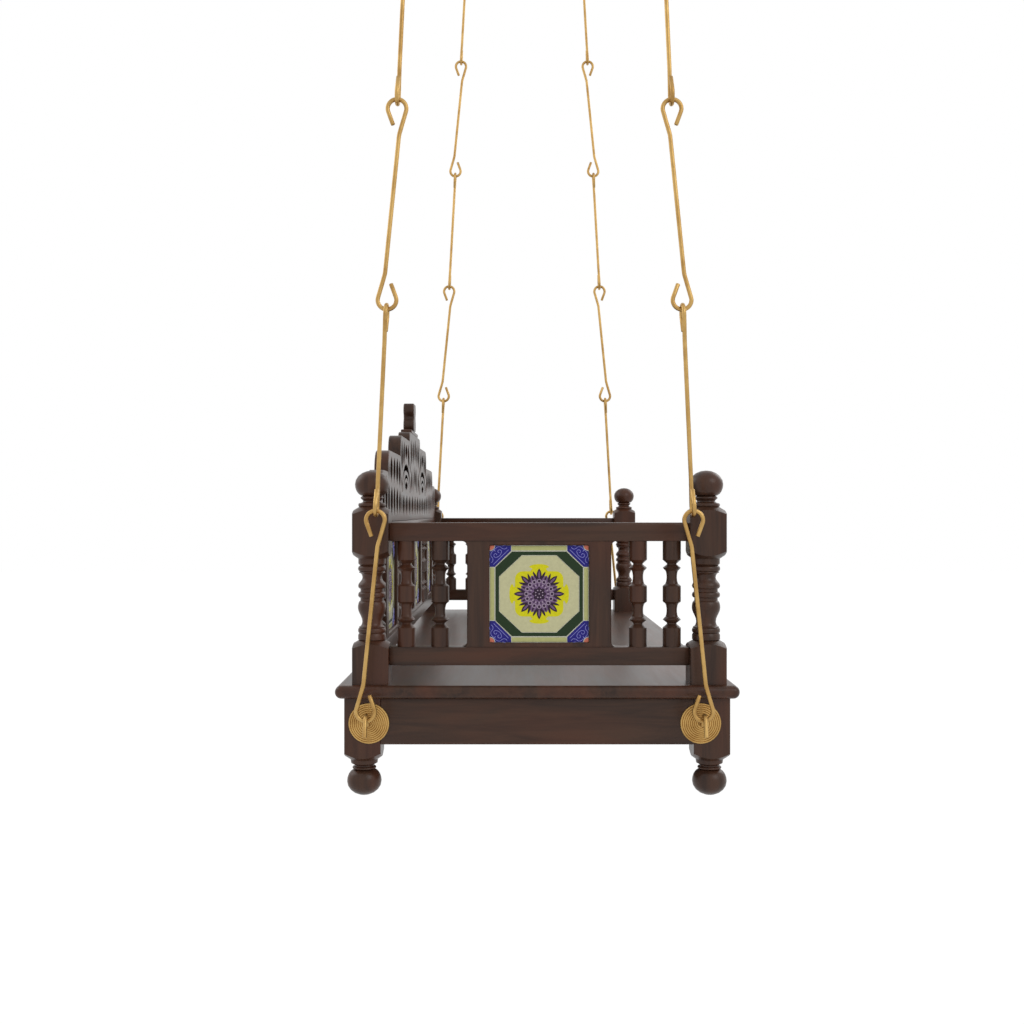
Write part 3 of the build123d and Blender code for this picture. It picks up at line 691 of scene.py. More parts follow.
class JHOOLA_OT_seat(bpy.types.Operator):
    """Makes the seat board with its full bullnose"""

    bl_idname = "jhoola.seat"
    bl_label = "Seat Board"

    def execute(self, context):
        """A slab whose long edges are rounded until they almost meet, and whose ends are eased."""
        low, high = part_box("seat_board")
        board = block(low, high)
        rounding = (high.z - low.z) * BULLNOSE_SHARE
        bevel_edges(board, rounding, 8, lambda start, end: abs(start.x - end.x) > LONG_EDGE)
        apply_modifier(board, "BEVEL", width=SEAT_END_ROUND, segments=4, angle_limit=radians(50))
        settle(board, 40)
        dress(board, "seat_board_bullnosed", wood("along", 0), "seat", "wood", "seat_board")
        return {"FINISHED"}


# ---- Brass rod --------------------------------------------------------------------------------
ROD_SIDES = 14


class Rod:
    """A round rod drawn from a ring, run by run and bend by bend, in its own XZ plane."""

    def __init__(self, radius, start, heading, steps_per_turn=40):
        """heading is in degrees from +Z towards +X."""
        self.position = Vector((start[0], 0, start[1]))
        self.heading = radians(heading)
        self.steps_per_turn = steps_per_turn
        self.radius = radius
        deselect()
        bpy.ops.mesh.primitive_circle_add(
            vertices=ROD_SIDES, radius=radius, location=self.position, rotation=(0, self.heading, 0)
        )
        self.piece = bpy.context.active_object
        bpy.ops.object.transform_apply(location=True, rotation=True)
        bpy.ops.object.mode_set(mode="EDIT")
        bpy.ops.mesh.select_all(action="SELECT")

    def direction(self):
        """The way the rod is going."""
        return Vector((sin(self.heading), 0, cos(self.heading)))

    def run(self, distance):
        """Goes straight on."""
        step = self.direction() * distance
        extrude(step)
        self.position += step

    def bend(self, radius, angle):
        """Turns by an angle in degrees, towards +X if it is positive and the rod goes up."""
        side = 1 if angle > 0 else -1
        across = Vector((cos(self.heading), 0, -sin(self.heading))) * side
        centre = self.position + across * radius
        turn = radians(angle)
        steps = max(3, round(abs(turn) / (2 * pi) * self.steps_per_turn))
        bpy.ops.mesh.spin(steps=steps, angle=-turn, center=centre, axis=(0, 1, 0))
        self.position = centre + Matrix.Rotation(turn, 3, "Y") @ (self.position - centre)
        self.heading += turn

    def swell(self, radius):
        """Takes the end to another radius, in a step."""
        ratio = radius / self.radius
        self.run(abs(radius - self.radius))
        bpy.ops.transform.resize(value=(ratio, ratio, ratio), center_override=self.position)
        self.radius = radius

    def thread(self, distance, pitch, radius):
        """Goes on as a screw thread, drawn as rings, and leaves it at its outer radius."""
        root = self.radius
        for _ in range(round(distance / pitch)):
            for next_radius in (radius, root):
                self.swell(next_radius)
                self.run(pitch / 2 - abs(radius - root))
        self.swell(radius)

    def cap(self):
        """Closes the end with a small chamfer."""
        self.run(self.radius * 0.2)
        bpy.ops.transform.resize(value=(0.8, 0.8, 0.8), center_override=self.position)
        bpy.ops.mesh.edge_face_add()

    def finish(self):
        """The rod as a piece."""
        close_up()
        return self.piece


NECK_DROP = 56 * MM
NECK_OFFSET = 5 * MM
TIP_DROP = 41 * MM
NECK_BEND = 40 * MM
HOOK_CLOSE = 10  # degrees that a hook turns in past the slope of its neck
LINK_COUNT = 6
FIRST_LINK_RISE = 152.25 * MM  # the lowest link's middle above the point that it turns about


def chain_link(radius, hook_radius, pitch):
    """One S-shaped link, its upper tip towards -X: half is drawn, and copied with half a turn."""
    outer = pitch / 2 + 2 * radius
    neck = Vector((NECK_OFFSET, outer - NECK_DROP))
    centre = Vector((0, outer - radius - hook_radius))
    reach = centre - neck
    shank_heading = degrees(atan2(neck.x, neck.y))
    swell = asin(hook_radius / reach.length)
    neck_heading = degrees(atan2(reach.x, reach.y) + swell)
    tangent_run = sqrt(reach.length_squared - hook_radius**2)
    trim = NECK_BEND * tan(radians(neck_heading - shank_heading) / 2)
    over = -(180 + 2 * neck_heading + HOOK_CLOSE)
    rod = Rod(radius, (0, 0), shank_heading)
    rod.run(neck.length - trim)
    rod.bend(NECK_BEND, neck_heading - shank_heading)
    rod.run(tangent_run - trim)
    rod.bend(hook_radius, over)
    tip_slope = radians(neck_heading + HOOK_CLOSE)
    rod.run((rod.position.z - (outer - TIP_DROP)) / cos(tip_slope))
    rod.cap()
    half = rod.finish()
    other = copy_of(half, Matrix.Rotation(pi, 4, "Y"))
    return settle(join(other, half), 50)


class JHOOLA_OT_chains(bpy.types.Operator):
    """Bends the links and hooks them into four chains"""

    bl_idname = "jhoola.chains"
    bl_label = "Chains"

    def execute(self, context):
        """One link is bent, then each chain gets six, every other one turned a quarter."""
        brass = context.scene.jhoola_brass
        pattern = chain_link(brass.rod_radius, brass.link_radius, brass.link_pitch)
        for corner_name, (end, side) in CORNERS.items():
            hanging, lean = chain_line(end, side)
            for number in range(LINK_COUNT):
                kind = "along" if number % 2 else "across"
                facing = {
                    "along": Matrix.Diagonal((end, 1, 1, 1)),
                    "across": Matrix.Diagonal((1, -side, 1, 1)) @ Matrix.Rotation(pi / 2, 4, "Z"),
                }[kind]
                up = Matrix.Translation((0, 0, FIRST_LINK_RISE + number * brass.link_pitch))
                place = Matrix.Translation(hanging) @ lean @ up @ facing
                link = settle(copy_of(pattern, place), 50)
                dress(
                    link, f"{corner_name}_link_{number + 1}", brass_metal("chain"),
                    f"{corner_name}_chain", "brass", f"{corner_name}_links_{kind}",
                )
        discard(pattern)
        return {"FINISHED"}


def chain_line(end, side):
    """Where a chain's lowest link rests on its hook bolt, and the turn that leans it inwards."""
    foot = Vector(JOINTS["front_left_hook_level"]["pos_m"])
    top = Vector(JOINTS["sway"]["pos_m"])
    lean = atan2(abs(foot.y - top.y), top.z - foot.z)
    hanging = Vector((end * abs(foot.x), side * abs(foot.y), foot.z))
    return hanging, Matrix.Rotation(side * lean, 4, "X")


class JHOOLA_OT_hook_bolts(bpy.types.Operator):
    """Bends the hook bolts and makes their rosettes and nuts"""

    bl_idname = "jhoola.hook_bolts"
    bl_label = "Hook Bolts and Rosettes"

    def execute(self, context):
        """Each is made for the right end on the X axis and copied to the four corners."""
        brass = context.scene.jhoola_brass
        bolt = hook_bolt(brass)
        rings = rosette(brass)
        nut = nut_and_washer()
        for corner_name, (end, side) in CORNERS.items():
            joint = "seat_tilt" if corner_name == "front_left" else f"{corner_name}_hook_turn"
            shank = JOINTS[joint]["pos_m"]
            place = Matrix.Translation((0, shank[1], shank[2])) @ Matrix.Diagonal((end, side, 1, 1))
            metal = brass_metal("fitting")
            for pattern, name, body, node in (
                (bolt, "hook_bolt_bent", f"{corner_name}_hook", f"{corner_name}_hook_bolt"),
                (nut, "hook_nut_cut", f"{corner_name}_hook", f"{corner_name}_hook_nut"),
                (rings, "rosette_rings", "seat", "rosettes"),
            ):
                piece = settle(copy_of(pattern, place), 40)
                dress(piece, f"{corner_name}_{name}", metal, body, "brass", node)
        discard(bolt, rings, nut)
        return {"FINISHED"}


APEX_RISE = 17.2 * MM  # leaves the lowest link room to shift in the hook as the seat swings
HOOK_FLARE = 16
HOOK_TIP_DROP = 12 * MM - 0.65 * MM  # the rod's chamfered end comes after it
SHANK_RADIUS = 3.75 * MM
SHANK_SHOWN = 4 * MM  # beyond the rosette, before the rod narrows
SHANK_BEND = 4.5 * MM
THREAD_ROOT = SHANK_RADIUS * 0.9
THREAD_LENGTH = 24 * MM
THREAD_PITCH = 1.25 * MM
ROSETTE_RINGS = 9
ROSETTE_RIM = 1.2
ROSETTE_CROWN = 3.6
WASHER_THICK = 1.6 * MM
NUT_RADIUS = 6.93 * MM  # to its corners


def hook_bolt(brass):
    """A rod along X whose outer end turns up and over into an open hook that leans outwards."""
    inner_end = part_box("front_right_hook_bolt")[0].x
    shank_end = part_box("rosettes")[1].x + SHANK_SHOWN
    centre = Vector((abs(JOINTS["sway"]["pos_m"][0]), APEX_RISE - brass.hook_radius))
    flare = radians(HOOK_FLARE)
    # Where the rising leg touches its arc, and where it would come down to the shank's height.
    touch = centre + brass.hook_radius * Vector((-cos(flare), sin(flare)))
    foot_x = touch.x - touch.y * tan(flare)
    trim = SHANK_BEND * tan((pi / 2 - flare) / 2)
    rod = Rod(THREAD_ROOT, (inner_end, 0), 90, steps_per_turn=56)
    rod.thread(THREAD_LENGTH, THREAD_PITCH, SHANK_RADIUS)
    rod.run(shank_end - rod.position.x)
    rod.swell(brass.rod_radius)
    rod.run(foot_x - trim - shank_end)
    rod.bend(SHANK_BEND, HOOK_FLARE - 90)
    rod.run(touch.y / cos(flare) - trim)
    rod.bend(brass.hook_radius, 180 - 2 * HOOK_FLARE)
    rod.run((rod.position.z + HOOK_TIP_DROP) / cos(flare))
    rod.cap()
    return settle(rod.finish(), 50)


def rosette(brass):
    """A shallow boss of close rings on the leg's face, about the hook bolt on the X axis."""
    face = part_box("front_right_leg")[1].x
    ring = (brass.rosette_radius - SHANK_RADIUS) / ROSETTE_RINGS / MM
    outer, inner = brass.rosette_radius / MM, SHANK_RADIUS / MM
    stations = [("sharp", outer - 0.6, 0), ("sharp", outer, 0.6)]
    for number in range(ROSETTE_RINGS):
        valley = outer - number * ring
        low = ROSETTE_RIM + (ROSETTE_CROWN - ROSETTE_RIM) * number / ROSETTE_RINGS
        rise = (ROSETTE_CROWN - ROSETTE_RIM) / ROSETTE_RINGS
        # Each ring's round back: shares of its width, and heights above its outer valley.
        for share, height in ((0, 0), (0.2, 0.75), (0.5, 1.05), (0.8, 0.75 + rise)):
            stations.append(("sharp", valley - share * ring, low + height))
    stations.append(("sharp", inner, ROSETTE_CROWN))
    boss = turned(stations, around=64, steps=1)
    boss.matrix_world = Matrix.Translation((face, 0, 0)) @ Matrix.Rotation(pi / 2, 4, "Y")
    return settle(boss, 25)


def nut_and_washer():
    """A chamfered hexagonal nut on a square washer, inside the leg."""
    low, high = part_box("front_right_hook_nut")
    deselect()
    bpy.ops.mesh.primitive_cube_add(
        size=1,
        location=(high.x - WASHER_THICK / 2, 0, 0),
        scale=(WASHER_THICK, high.y - low.y, high.z - low.z),
    )
    washer = settle(bpy.context.active_object)
    apply_modifier(washer, "BEVEL", width=0.3 * MM, segments=2)
    deselect()
    bpy.ops.mesh.primitive_cylinder_add(
        vertices=6, radius=NUT_RADIUS, depth=high.x - low.x - WASHER_THICK,
        location=((low.x + high.x - WASHER_THICK) / 2, 0, 0), rotation=(0, pi / 2, 0),
    )
    nut = settle(bpy.context.active_object)
    apply_modifier(nut, "BEVEL", width=0.5 * MM, segments=2)
    return join(washer, nut)


def hexagon(across, low, high):
    """A six-sided head or nut about Z with softened edges, in millimetres."""
    deselect()
    bpy.ops.mesh.primitive_cylinder_add(
        vertices=6, radius=across / 2 / cos(pi / 6) * MM, depth=(high - low) * MM,
        location=(0, 0, (low + high) / 2 * MM),
    )
    head = settle(bpy.context.active_object)
    apply_modifier(head, "BEVEL", width=0.6 * MM, segments=2)
    return head


# Ceiling fittings, in millimetres.
PIN_DROP = 36.0
PLATE_SIZE = 70.0
PLATE_THICK = 6.0
PLATE_CORNER = 5.0
PLATE_EDGE = 1.2
EAR_RADIUS = 11.0
EAR_MIDDLE = 6.25
EAR_THICK = 5.0
EAR_EDGE = 0.6
EAR_SUNK = 1.0  # into the plate
PIN_RADIUS = 4.0
PIN_BORE = 4.05
PIN_HALF = 8.75
PIN_HEAD = 4.0
PIN_HEAD_ACROSS = 13.0
STUD_LENGTH = 45.0
STUD_RADIUS = 5.0
STUD_PITCH = 1.5
STUD_ROOT = STUD_RADIUS * 0.88
SLOT_BELOW_PIN = 26.0
SLOT_RADIUS = 9.0
HANGER_ROUND = (16.0, 9.0)  # round the slot and round the pin
HANGER_THICK = 6.5
HANGER_EDGE = 0.9


def ceiling_bracket():
    """A plate under the ceiling with a threaded stud above it and two round ears below it."""
    square = rounded_rectangle(PLATE_SIZE, PLATE_SIZE, PLATE_CORNER)
    parts = [plate([square], -PLATE_THICK, 0, PLATE_EDGE)]
    ear_top = EAR_SUNK - PLATE_THICK
    ear_outline = outline(
        [corner(EAR_RADIUS, ear_top), corner(-EAR_RADIUS, ear_top)],
        arc((0, -PIN_DROP), (EAR_RADIUS, EAR_RADIUS), 180, 360),
    )
    bore = circle(0, -PIN_DROP, PIN_BORE)
    ear = plate([ear_outline, bore], -EAR_THICK / 2, EAR_THICK / 2, EAR_EDGE)
    for end in (-1, 1):
        parts.append(copy_of(ear, Matrix.Translation((end * EAR_MIDDLE * MM, 0, 0)) @ UPRIGHT_Y))
    discard(ear)
    thread = [("sharp", STUD_ROOT, -1)]
    for number in range(int(STUD_LENGTH / STUD_PITCH)):
        thread.append(("sharp", STUD_RADIUS, (number + 0.4) * STUD_PITCH))
        thread.append(("sharp", STUD_ROOT, (number + 0.9) * STUD_PITCH))
    parts.append(turned(thread, around=24))
    return settle(join(*parts), 35)


def hanger_pin():
    """A round pin along X with a hexagonal head and nut."""
    shank = turned([("sharp", PIN_RADIUS, -PIN_HALF), ("sharp", PIN_RADIUS, PIN_HALF)], around=32)
    head = hexagon(PIN_HEAD_ACROSS, PIN_HALF, PIN_HALF + PIN_HEAD)
    nut = hexagon(PIN_HEAD_ACROSS, -PIN_HALF - PIN_HEAD, -PIN_HALF)
    pin = join(shank, head, nut)
    pin.matrix_world = Matrix.Translation((0, 0, -PIN_DROP * MM)) @ Matrix.Rotation(pi / 2, 4, "Y")
    return settle(pin, 35)


def hanger_plate():
    """A plate with a round eye for its pin at the origin and a larger hole below it."""
    big, small = HANGER_ROUND
    tangent = degrees(asin((big - small) / SLOT_BELOW_PIN))
    rim = arc((0, -SLOT_BELOW_PIN), (big, big), 180 - tangent, 360 + tangent)
    rim += arc((0, 0), (small, small), tangent, 180 - tangent)
    openings = [circle(0, 0, PIN_BORE), circle(0, -SLOT_BELOW_PIN, SLOT_RADIUS)]
    return plate([rim, *openings], -HANGER_THICK / 2, HANGER_THICK / 2, HANGER_EDGE)


class JHOOLA_OT_ceiling(bpy.types.Operator):
    """Makes the ceiling plates, their pins and the hangers"""

    bl_idname = "jhoola.ceiling"
    bl_label = "Ceiling Fittings"

    def execute(self, context):
        """One of each is made at the origin and copied to the four corners."""
        metal = brass_metal("fitting")
        bracket, pin, hanger = ceiling_bracket(), hanger_pin(), hanger_plate()
        for corner_name, (end, side) in CORNERS.items():
            joint = "swing" if corner_name == "front_left" else f"{corner_name}_swing"
            pin_x, pin_y, pin_z = JOINTS[joint]["pos_m"]
            above = Matrix.Translation((pin_x, pin_y, 0))
            lean = chain_line(end, side)[1]
            hanging = Matrix.Translation((pin_x, pin_y, pin_z)) @ lean @ UPRIGHT_Y
            for pattern, name, place, body, node in (
                (bracket, "ceiling_bracket", above, "ceiling", "ceiling_brackets"),
                (pin, "hanger_pin", above, "ceiling", "hanger_pins"),
                (
                    hanger, "hanger_plate", hanging,
                    f"{corner_name}_hanger_body", f"{corner_name}_hanger",
                ),
            ):
                piece = settle(copy_of(pattern, place), 35)
                dress(piece, f"{corner_name}_{name}", metal, body, "brass", node)
        discard(bracket, pin, hanger)
        return {"FINISHED"}


# ---- Tiles ------------------------------------------------------------------------------------
class JHOOLA_OT_tiles(bpy.types.Operator):
    """Makes the glazed tiles with their raised pattern"""

    bl_idname = "jhoola.tiles"
    bl_label = "Tiles"

    def execute(self, context):
        """One tile is made lying on its back, and copied into each opening."""
        pattern = glazed_tile()
        for name, end in (("left", -1), ("right", 1)):
            for face, outwards in (("outer", end), ("inner", -end)):
                node = f"{name}_arm_{face}_tile"
                low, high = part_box(node)
                back = low.x if outwards > 0 else high.x
                place = (
                    Matrix.Translation((back, (low.y + high.y) / 2, (low.z + high.z) / 2))
                    @ Matrix.Rotation(outwards * pi / 2, 4, "Z") @ UPRIGHT_X
                )
                tile = settle(copy_of(pattern, place), 35)
                dress(tile, node + "_glazed", None, "seat", "tile", node)
        high_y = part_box("back_tiles")[1].y
        for number, middle in enumerate(solid_middles("back_tiles"), 1):
            place = Matrix.Translation((middle.x, high_y, middle.z)) @ UPRIGHT_X
            tile = settle(copy_of(pattern, place), 35)
            dress(tile, f"back_tile_{number}_glazed", None, "seat", "tile", "back_tiles")
        discard(pattern)
        return {"FINISHED"}


def octagon(half_width, half_height, straight_width, straight_height):
    """An eight-sided outline, given half its sizes and half its upright and level sides."""
    right = [
        corner(straight_width, -half_height), corner(half_width, -straight_height),
        corner(half_width, straight_height), corner(straight_width, half_height),
    ]
    return right + mirrored(right)


def glazed(name, outlines, top, edge=0.3):
    """A raised field of one glaze, from inside the slab up to its own height."""
    piece = plate(outlines, FIELD_FOOT, top, edge)
    piece.data.materials.append(glaze(name))
    return piece


def raised_line(name, points, height, radius=0.45):
    """A round line of glaze through points, half sunk in its field."""
    curve = bpy.data.curves.new("line", "CURVE")
    curve.dimensions = "3D"
    curve.bevel_depth = radius
    curve.bevel_resolution = 1
    curve.resolution_u = 4
    curve.use_fill_caps = True
    spline = curve.splines.new("BEZIER")
    spline.bezier_points.add(len(points) - 1)
    for knot, (x, y) in zip(spline.bezier_points, points):
        knot.co = (x, y, height)
        knot.handle_left_type = knot.handle_right_type = "AUTO"
    piece = mesh_from("line", curve, angle=60)
    piece.data.materials.append(glaze(name))
    return piece


def round_about(pieces, count, first=0):
    """Copies of some pieces turned evenly about the tile's middle, without the pattern."""
    ring = []
    for number in range(count):
        turn = Matrix.Rotation(first + number * 2 * pi / count, 4, "Z")
        ring += [copy_of(piece, turn) for piece in pieces]
    discard(*pieces)
    return ring


def four_corners(pieces):
    """Pieces of the upper right corner, mirrored into the other three as well."""
    copies = []
    for across, up in ((-1, 1), (-1, -1), (1, -1)):
        copies += [copy_of(piece, Matrix.Diagonal((across, up, 1, 1))) for piece in pieces]
    return pieces + [settle(piece) for piece in copies]


# Heights are in millimetres above the tile's back.
FIELD_FOOT = 6.4
SLAB_TOP = 6.8
# The border's outer and inner edge, as octagon() takes them.
BORDER = ((66.8, 64.6, 41.5, 40.5), (61.3, 59.1, 26.5, 26.5))
LINE = 1.1
STRIP_ROOM = 2  # how much smaller a strip is than its place
CORNER_LEG = 33.3
CORNER_INSET = 0.5
QUARTER_RADIUS = 7.5
QUARTER_RIM = 0.8  # from the quarter disc's edge to the line round it
# Scrolls in a corner, from the middle of its slanting edge: along the edge, and towards the corner.
SCROLLS = (
    ((-16, 4), (16, 4)),
    ((0, 7), (4, 8), (7, 10.5), (5.5, 14), (2, 13), (2.5, 10.5)),
    ((2, 19), (6, 19), (10, 16), (10.5, 12), (13, 8.5), (17, 8)),
    ((13, 15), (16, 13), (19, 12.5)),
    ((0, 16), (1, 20), (6, 23)),
)
HALO_SIZE = (74.0, 69.5, 12)
# Tip, neck and foot of the halo's caps, from the middle of the tile.
CAP = ((15.5, 41.0), (10.5, 38.3), (15, 33))
CAP_CROWN = 45.6


def cap_outline():
    """A shallow cap on the halo's upper side."""
    tip, neck, foot = CAP
    pull = tip[0] * 0.55
    side = [corner(*foot), corner(*neck), (*tip, None, (-1.5, 3.0))]
    return side + [(0, CAP_CROWN, (pull, 0), (-pull, 0))] + mirrored(side)


def corner_field():
    """The blue corner with its scrolls and its quarter disc, upper right."""
    x, y = TILE_WIDTH / 2 - CORNER_INSET, TILE_HEIGHT / 2 - CORNER_INSET
    leg_x, leg_y = TILE_WIDTH / 2 - CORNER_LEG, TILE_HEIGHT / 2 - CORNER_LEG
    outer = BORDER[0]
    slant_top, slant_foot = (leg_x, outer[1] + LINE), (outer[0] + LINE, leg_y)
    field = [
        corner(x, y), corner(leg_x, y), corner(*slant_top), corner(*slant_foot), corner(x, leg_y),
    ]
    pieces = [glazed("corner", [field], 7.15)]
    disc = [corner(x, y)] + arc((x, y), (QUARTER_RADIUS, QUARTER_RADIUS), 180, 270)
    pieces.append(glazed("quarter", [disc], 7.6, edge=0.5))
    rim_radius = QUARTER_RADIUS + QUARTER_RIM
    rim = [
        (x - rim_radius * cos(turn), y - rim_radius * sin(turn))
        for turn in (0.05, pi / 4, pi / 2 - 0.05)
    ]
    pieces.append(raised_line("line", rim, 7.15, 0.6))
    middle = Vector((slant_top[0] + slant_foot[0], slant_top[1] + slant_foot[1])) / 2
    along = Vector((slant_foot[0] - slant_top[0], slant_foot[1] - slant_top[1])).normalized()
    out = Vector((-along.y, along.x))
    for points in SCROLLS:
        for flip in (1, -1) if points is not SCROLLS[0] else (1,):
            drawn = [middle + along * u * flip + out * v for u, v in points]
            pieces.append(raised_line("scroll", drawn, 7.15))
    return four_corners(pieces)


def border_fields():
    """The strips round the edge, the green border between raised lines, and the ground inside."""
    outer, inner = BORDER
    wider = (outer[0] + LINE, outer[1] + LINE, *outer[2:])
    narrower = (inner[0] - LINE * 0.8, inner[1] - LINE * 0.8, *inner[2:])
    pieces = [
        glazed("line", [octagon(*wider), octagon(*outer)], 7.5),
        glazed("border", [octagon(*outer), octagon(*inner)], 7.2),
        glazed("line", [octagon(*inner), octagon(*narrower)], 7.4, edge=0.2),
        glazed("ground", [octagon(*narrower)], 7.1),
    ]
    across, up = TILE_WIDTH / 2, TILE_HEIGHT / 2
    level_size = (2 * (across - CORNER_LEG) - STRIP_ROOM, up - outer[1] - LINE - STRIP_ROOM)
    upright_size = (across - outer[0] - LINE - STRIP_ROOM, 2 * (up - CORNER_LEG) - STRIP_ROOM)
    for side in (-1, 1):
        level = side * (up + outer[1] + LINE - CORNER_INSET) / 2
        upright = side * (across + outer[0] + LINE - CORNER_INSET) / 2
        pieces.append(glazed("strip", [rounded_rectangle(*level_size, 1, y=level)], 7.1))
        pieces.append(glazed("strip", [rounded_rectangle(*upright_size, 1, x=upright)], 7.1))
    return pieces


def rosette_fields():
    """The yellow halo and the purple rosette of petals, dots and lace on it."""
    halo = [glazed("halo", [rounded_rectangle(*HALO_SIZE)], 7.25)]
    halo += round_about([glazed("halo", [cap_outline()], 7.27)], 4)
    petals = [
        glazed("petal", [leaf(0, 19, 39, 7.5, 0)], 7.6),
        glazed("petal_vein", [leaf(0, 22, 36, 3.2, 0)], 7.75, 0.2),
    ]
    for side in (-1, 1):
        petals.append(glazed("petal", [leaf(side * 2.2, 20, 34.5, 4.2, side * 7.4)], 7.55, 0.2))
    between = [
        glazed("petal_vein", [leaf(0, 18, 30.5, 9, 0)], 7.5),
        glazed("petal", [leaf(0, 21, 29, 3, 0)], 7.65, 0.2),
    ]
    pieces = halo + round_about(petals, 8) + round_about(between, 8, pi / 8)
    pieces.append(glazed("petal_vein", [circle(0, 0, 24.5)], 7.45))
    eye = [
        glazed("lace", [circle(0, 19.5, 3.3), circle(0, 19.5, 2.3)], 7.75, 0.2),
        glazed("petal", [circle(0, 19.5, 1.7)], 7.8, 0.4),
        glazed("lace", [leaf(0, 11.5, 15.5, 1.6, 0)], 7.7, 0.2),
    ]
    pieces += round_about(eye, 16)
    pieces += round_about([glazed("petal", [leaf(0, 11.5, 16.5, 1.6, 0)], 7.7, 0.2)], 16, pi / 16)
    pieces += round_about([glazed("petal", [circle(0, 8, 3)], 7.6, 0.4)], 8)
    pieces.append(glazed("petal", [circle(0, 0, 8.5)], 7.62))
    pieces += round_about([glazed("lace", [circle(0, 5.7, 1.15)], 7.85, 0.4)], 8, pi / 8)
    pieces.append(glazed("lace", [circle(0, 0, 1.2)], 7.85, 0.4))
    return pieces


def glazed_tile():
    """The tile on its back about Z, its glazes raised a little as on a moulded tile."""
    slab = plate([rounded_rectangle(TILE_WIDTH, TILE_HEIGHT, 3)], 0, SLAB_TOP, 0.5)
    slab.data.materials.append(glaze("line"))
    return join(*border_fields(), *corner_field(), *rosette_fields(), slab)


# ---- Materials --------------------------------------------------------------------------------
def new_material(name):
    """A material with only a Principled shader, and its nodes."""
    material = bpy.data.materials.new(name)
    material.use_nodes = True
    nodes = material.node_tree.nodes
    return material, nodes, material.node_tree.links, nodes["Principled BSDF"]


def add_node(nodes, kind, **values):
    """A shader node with its fields and its inputs set by name."""
    node = nodes.new(kind)
    for name, value in values.items():
        if hasattr(node, name):
            setattr(node, name, value)
        else:
            node.inputs[name.replace("_", " ").title()].default_value = value
    return node


def noise_on(nodes, links, stretch=None, **values):
    """Noise on a piece's own coordinates, which may be stretched along X, Y and Z."""
    place = nodes.new("ShaderNodeTexCoord").outputs["Object"]
    if stretch:
        mapping = add_node(nodes, "ShaderNodeMapping", scale=stretch)
        links.new(place, mapping.inputs["Vector"])
        place = mapping.outputs["Vector"]
    noise = add_node(nodes, "ShaderNodeTexNoise", **values)
    links.new(place, noise.inputs["Vector"])
    return noise


def two_tones(nodes, links, noise, low, high):
    """A colour that follows a noise from one tone to another, each given as (level, colour)."""
    ramp = nodes.new("ShaderNodeValToRGB")
    for stop, (level, tone) in zip(ramp.color_ramp.elements, (low, high)):
        stop.position = level
        stop.color = (*tone, 1)
    links.new(noise.outputs["Fac"], ramp.inputs["Fac"])
    return ramp.outputs["Color"]


def ranged(nodes, links, noise, **limits):
    """A noise brought to other limits."""
    spread = add_node(nodes, "ShaderNodeMapRange", **limits)
    links.new(noise.outputs["Fac"], spread.inputs["Value"])
    return spread.outputs["Result"]


def roughen(nodes, links, noise, shader, strength, distance):
    """Lets a noise raise the surface a little in the light."""
    bump = add_node(nodes, "ShaderNodeBump", strength=strength, distance=distance)
    links.new(noise.outputs["Fac"], bump.inputs["Height"])
    links.new(bump.outputs["Normal"], shader.inputs["Normal"])


# Sockets of a Mix node that mixes colours.
MIX_SHARE, MIX_FIRST, MIX_SECOND, MIX_RESULT = 0, 6, 7, 2
WOOD = {}
BRASS = {}
GLAZES = {}


def wood(cut, direction):
    """Dark stained wood whose grain runs along X, Y or Z (0, 1 or 2), darkened as painted shade in
    openings.
    """
    key = (cut, direction)
    if key in WOOD:
        return WOOD[key]
    settings = bpy.context.scene.jhoola_wood
    material, nodes, links, shader = new_material(f"stained_wood_{cut}_{'xyz'[direction]}")
    # Painted shade: the walls of the crest's openings are darkened to 0.3 of the wood's tones.
    depth = 0.3 if cut == "sawn" else 1.0
    grain_tone, stain_tone, figure_tone = (
        [part * depth for part in tone]
        for tone in (settings.grain, settings.stain, settings.figure)
    )
    grain = noise_on(
        nodes, links, [1.6 if axis == direction else 22 for axis in range(3)],
        scale=3.2, detail=8.0, roughness=0.62, distortion=0.6,
    )
    figure = noise_on(
        nodes, links, [2.0 if axis == direction else 7 for axis in range(3)],
        scale=1.4, detail=3.0, roughness=0.5, distortion=1.2,
    )
    tones = two_tones(nodes, links, grain, (0.32, grain_tone), (0.62, stain_tone))
    share = ranged(nodes, links, figure, from_min=0.44, from_max=0.7, to_max=0.6)
    blend = add_node(nodes, "ShaderNodeMix", data_type="RGBA")
    blend.inputs[MIX_SECOND].default_value = (*figure_tone, 1)
    links.new(tones, blend.inputs[MIX_FIRST])
    links.new(share, blend.inputs[MIX_SHARE])
    links.new(blend.outputs[MIX_RESULT], shader.inputs["Base Color"])
    roughness = ranged(nodes, links, grain, to_min=0.26, to_max=0.4)
    links.new(roughness, shader.inputs["Roughness"])
    roughen(nodes, links, grain, shader, strength=0.12, distance=0.0006)
    # Those walls also reflect less, as part of the same painted shade.
    shader.inputs["Specular IOR Level"].default_value = 0.05 if cut == "sawn" else 0.26
    WOOD[key] = material
    return material


def brass_metal(use):
    """Satin brass, a little duller in patches."""
    if use in BRASS:
        return BRASS[use]
    settings = bpy.context.scene.jhoola_brass
    material, nodes, links, shader = new_material(f"satin_brass_{use}")
    patches = noise_on(nodes, links, scale=28.0, detail=5.0, roughness=0.6)
    tones = two_tones(nodes, links, patches, (0.35, settings.tarnish), (0.6, settings.metal))
    links.new(tones, shader.inputs["Base Color"])
    shader.inputs["Metallic"].default_value = 1.0
    roughness = ranged(nodes, links, patches, to_min=0.5, to_max=0.4)
    links.new(roughness, shader.inputs["Roughness"])
    BRASS[use] = material
    return material


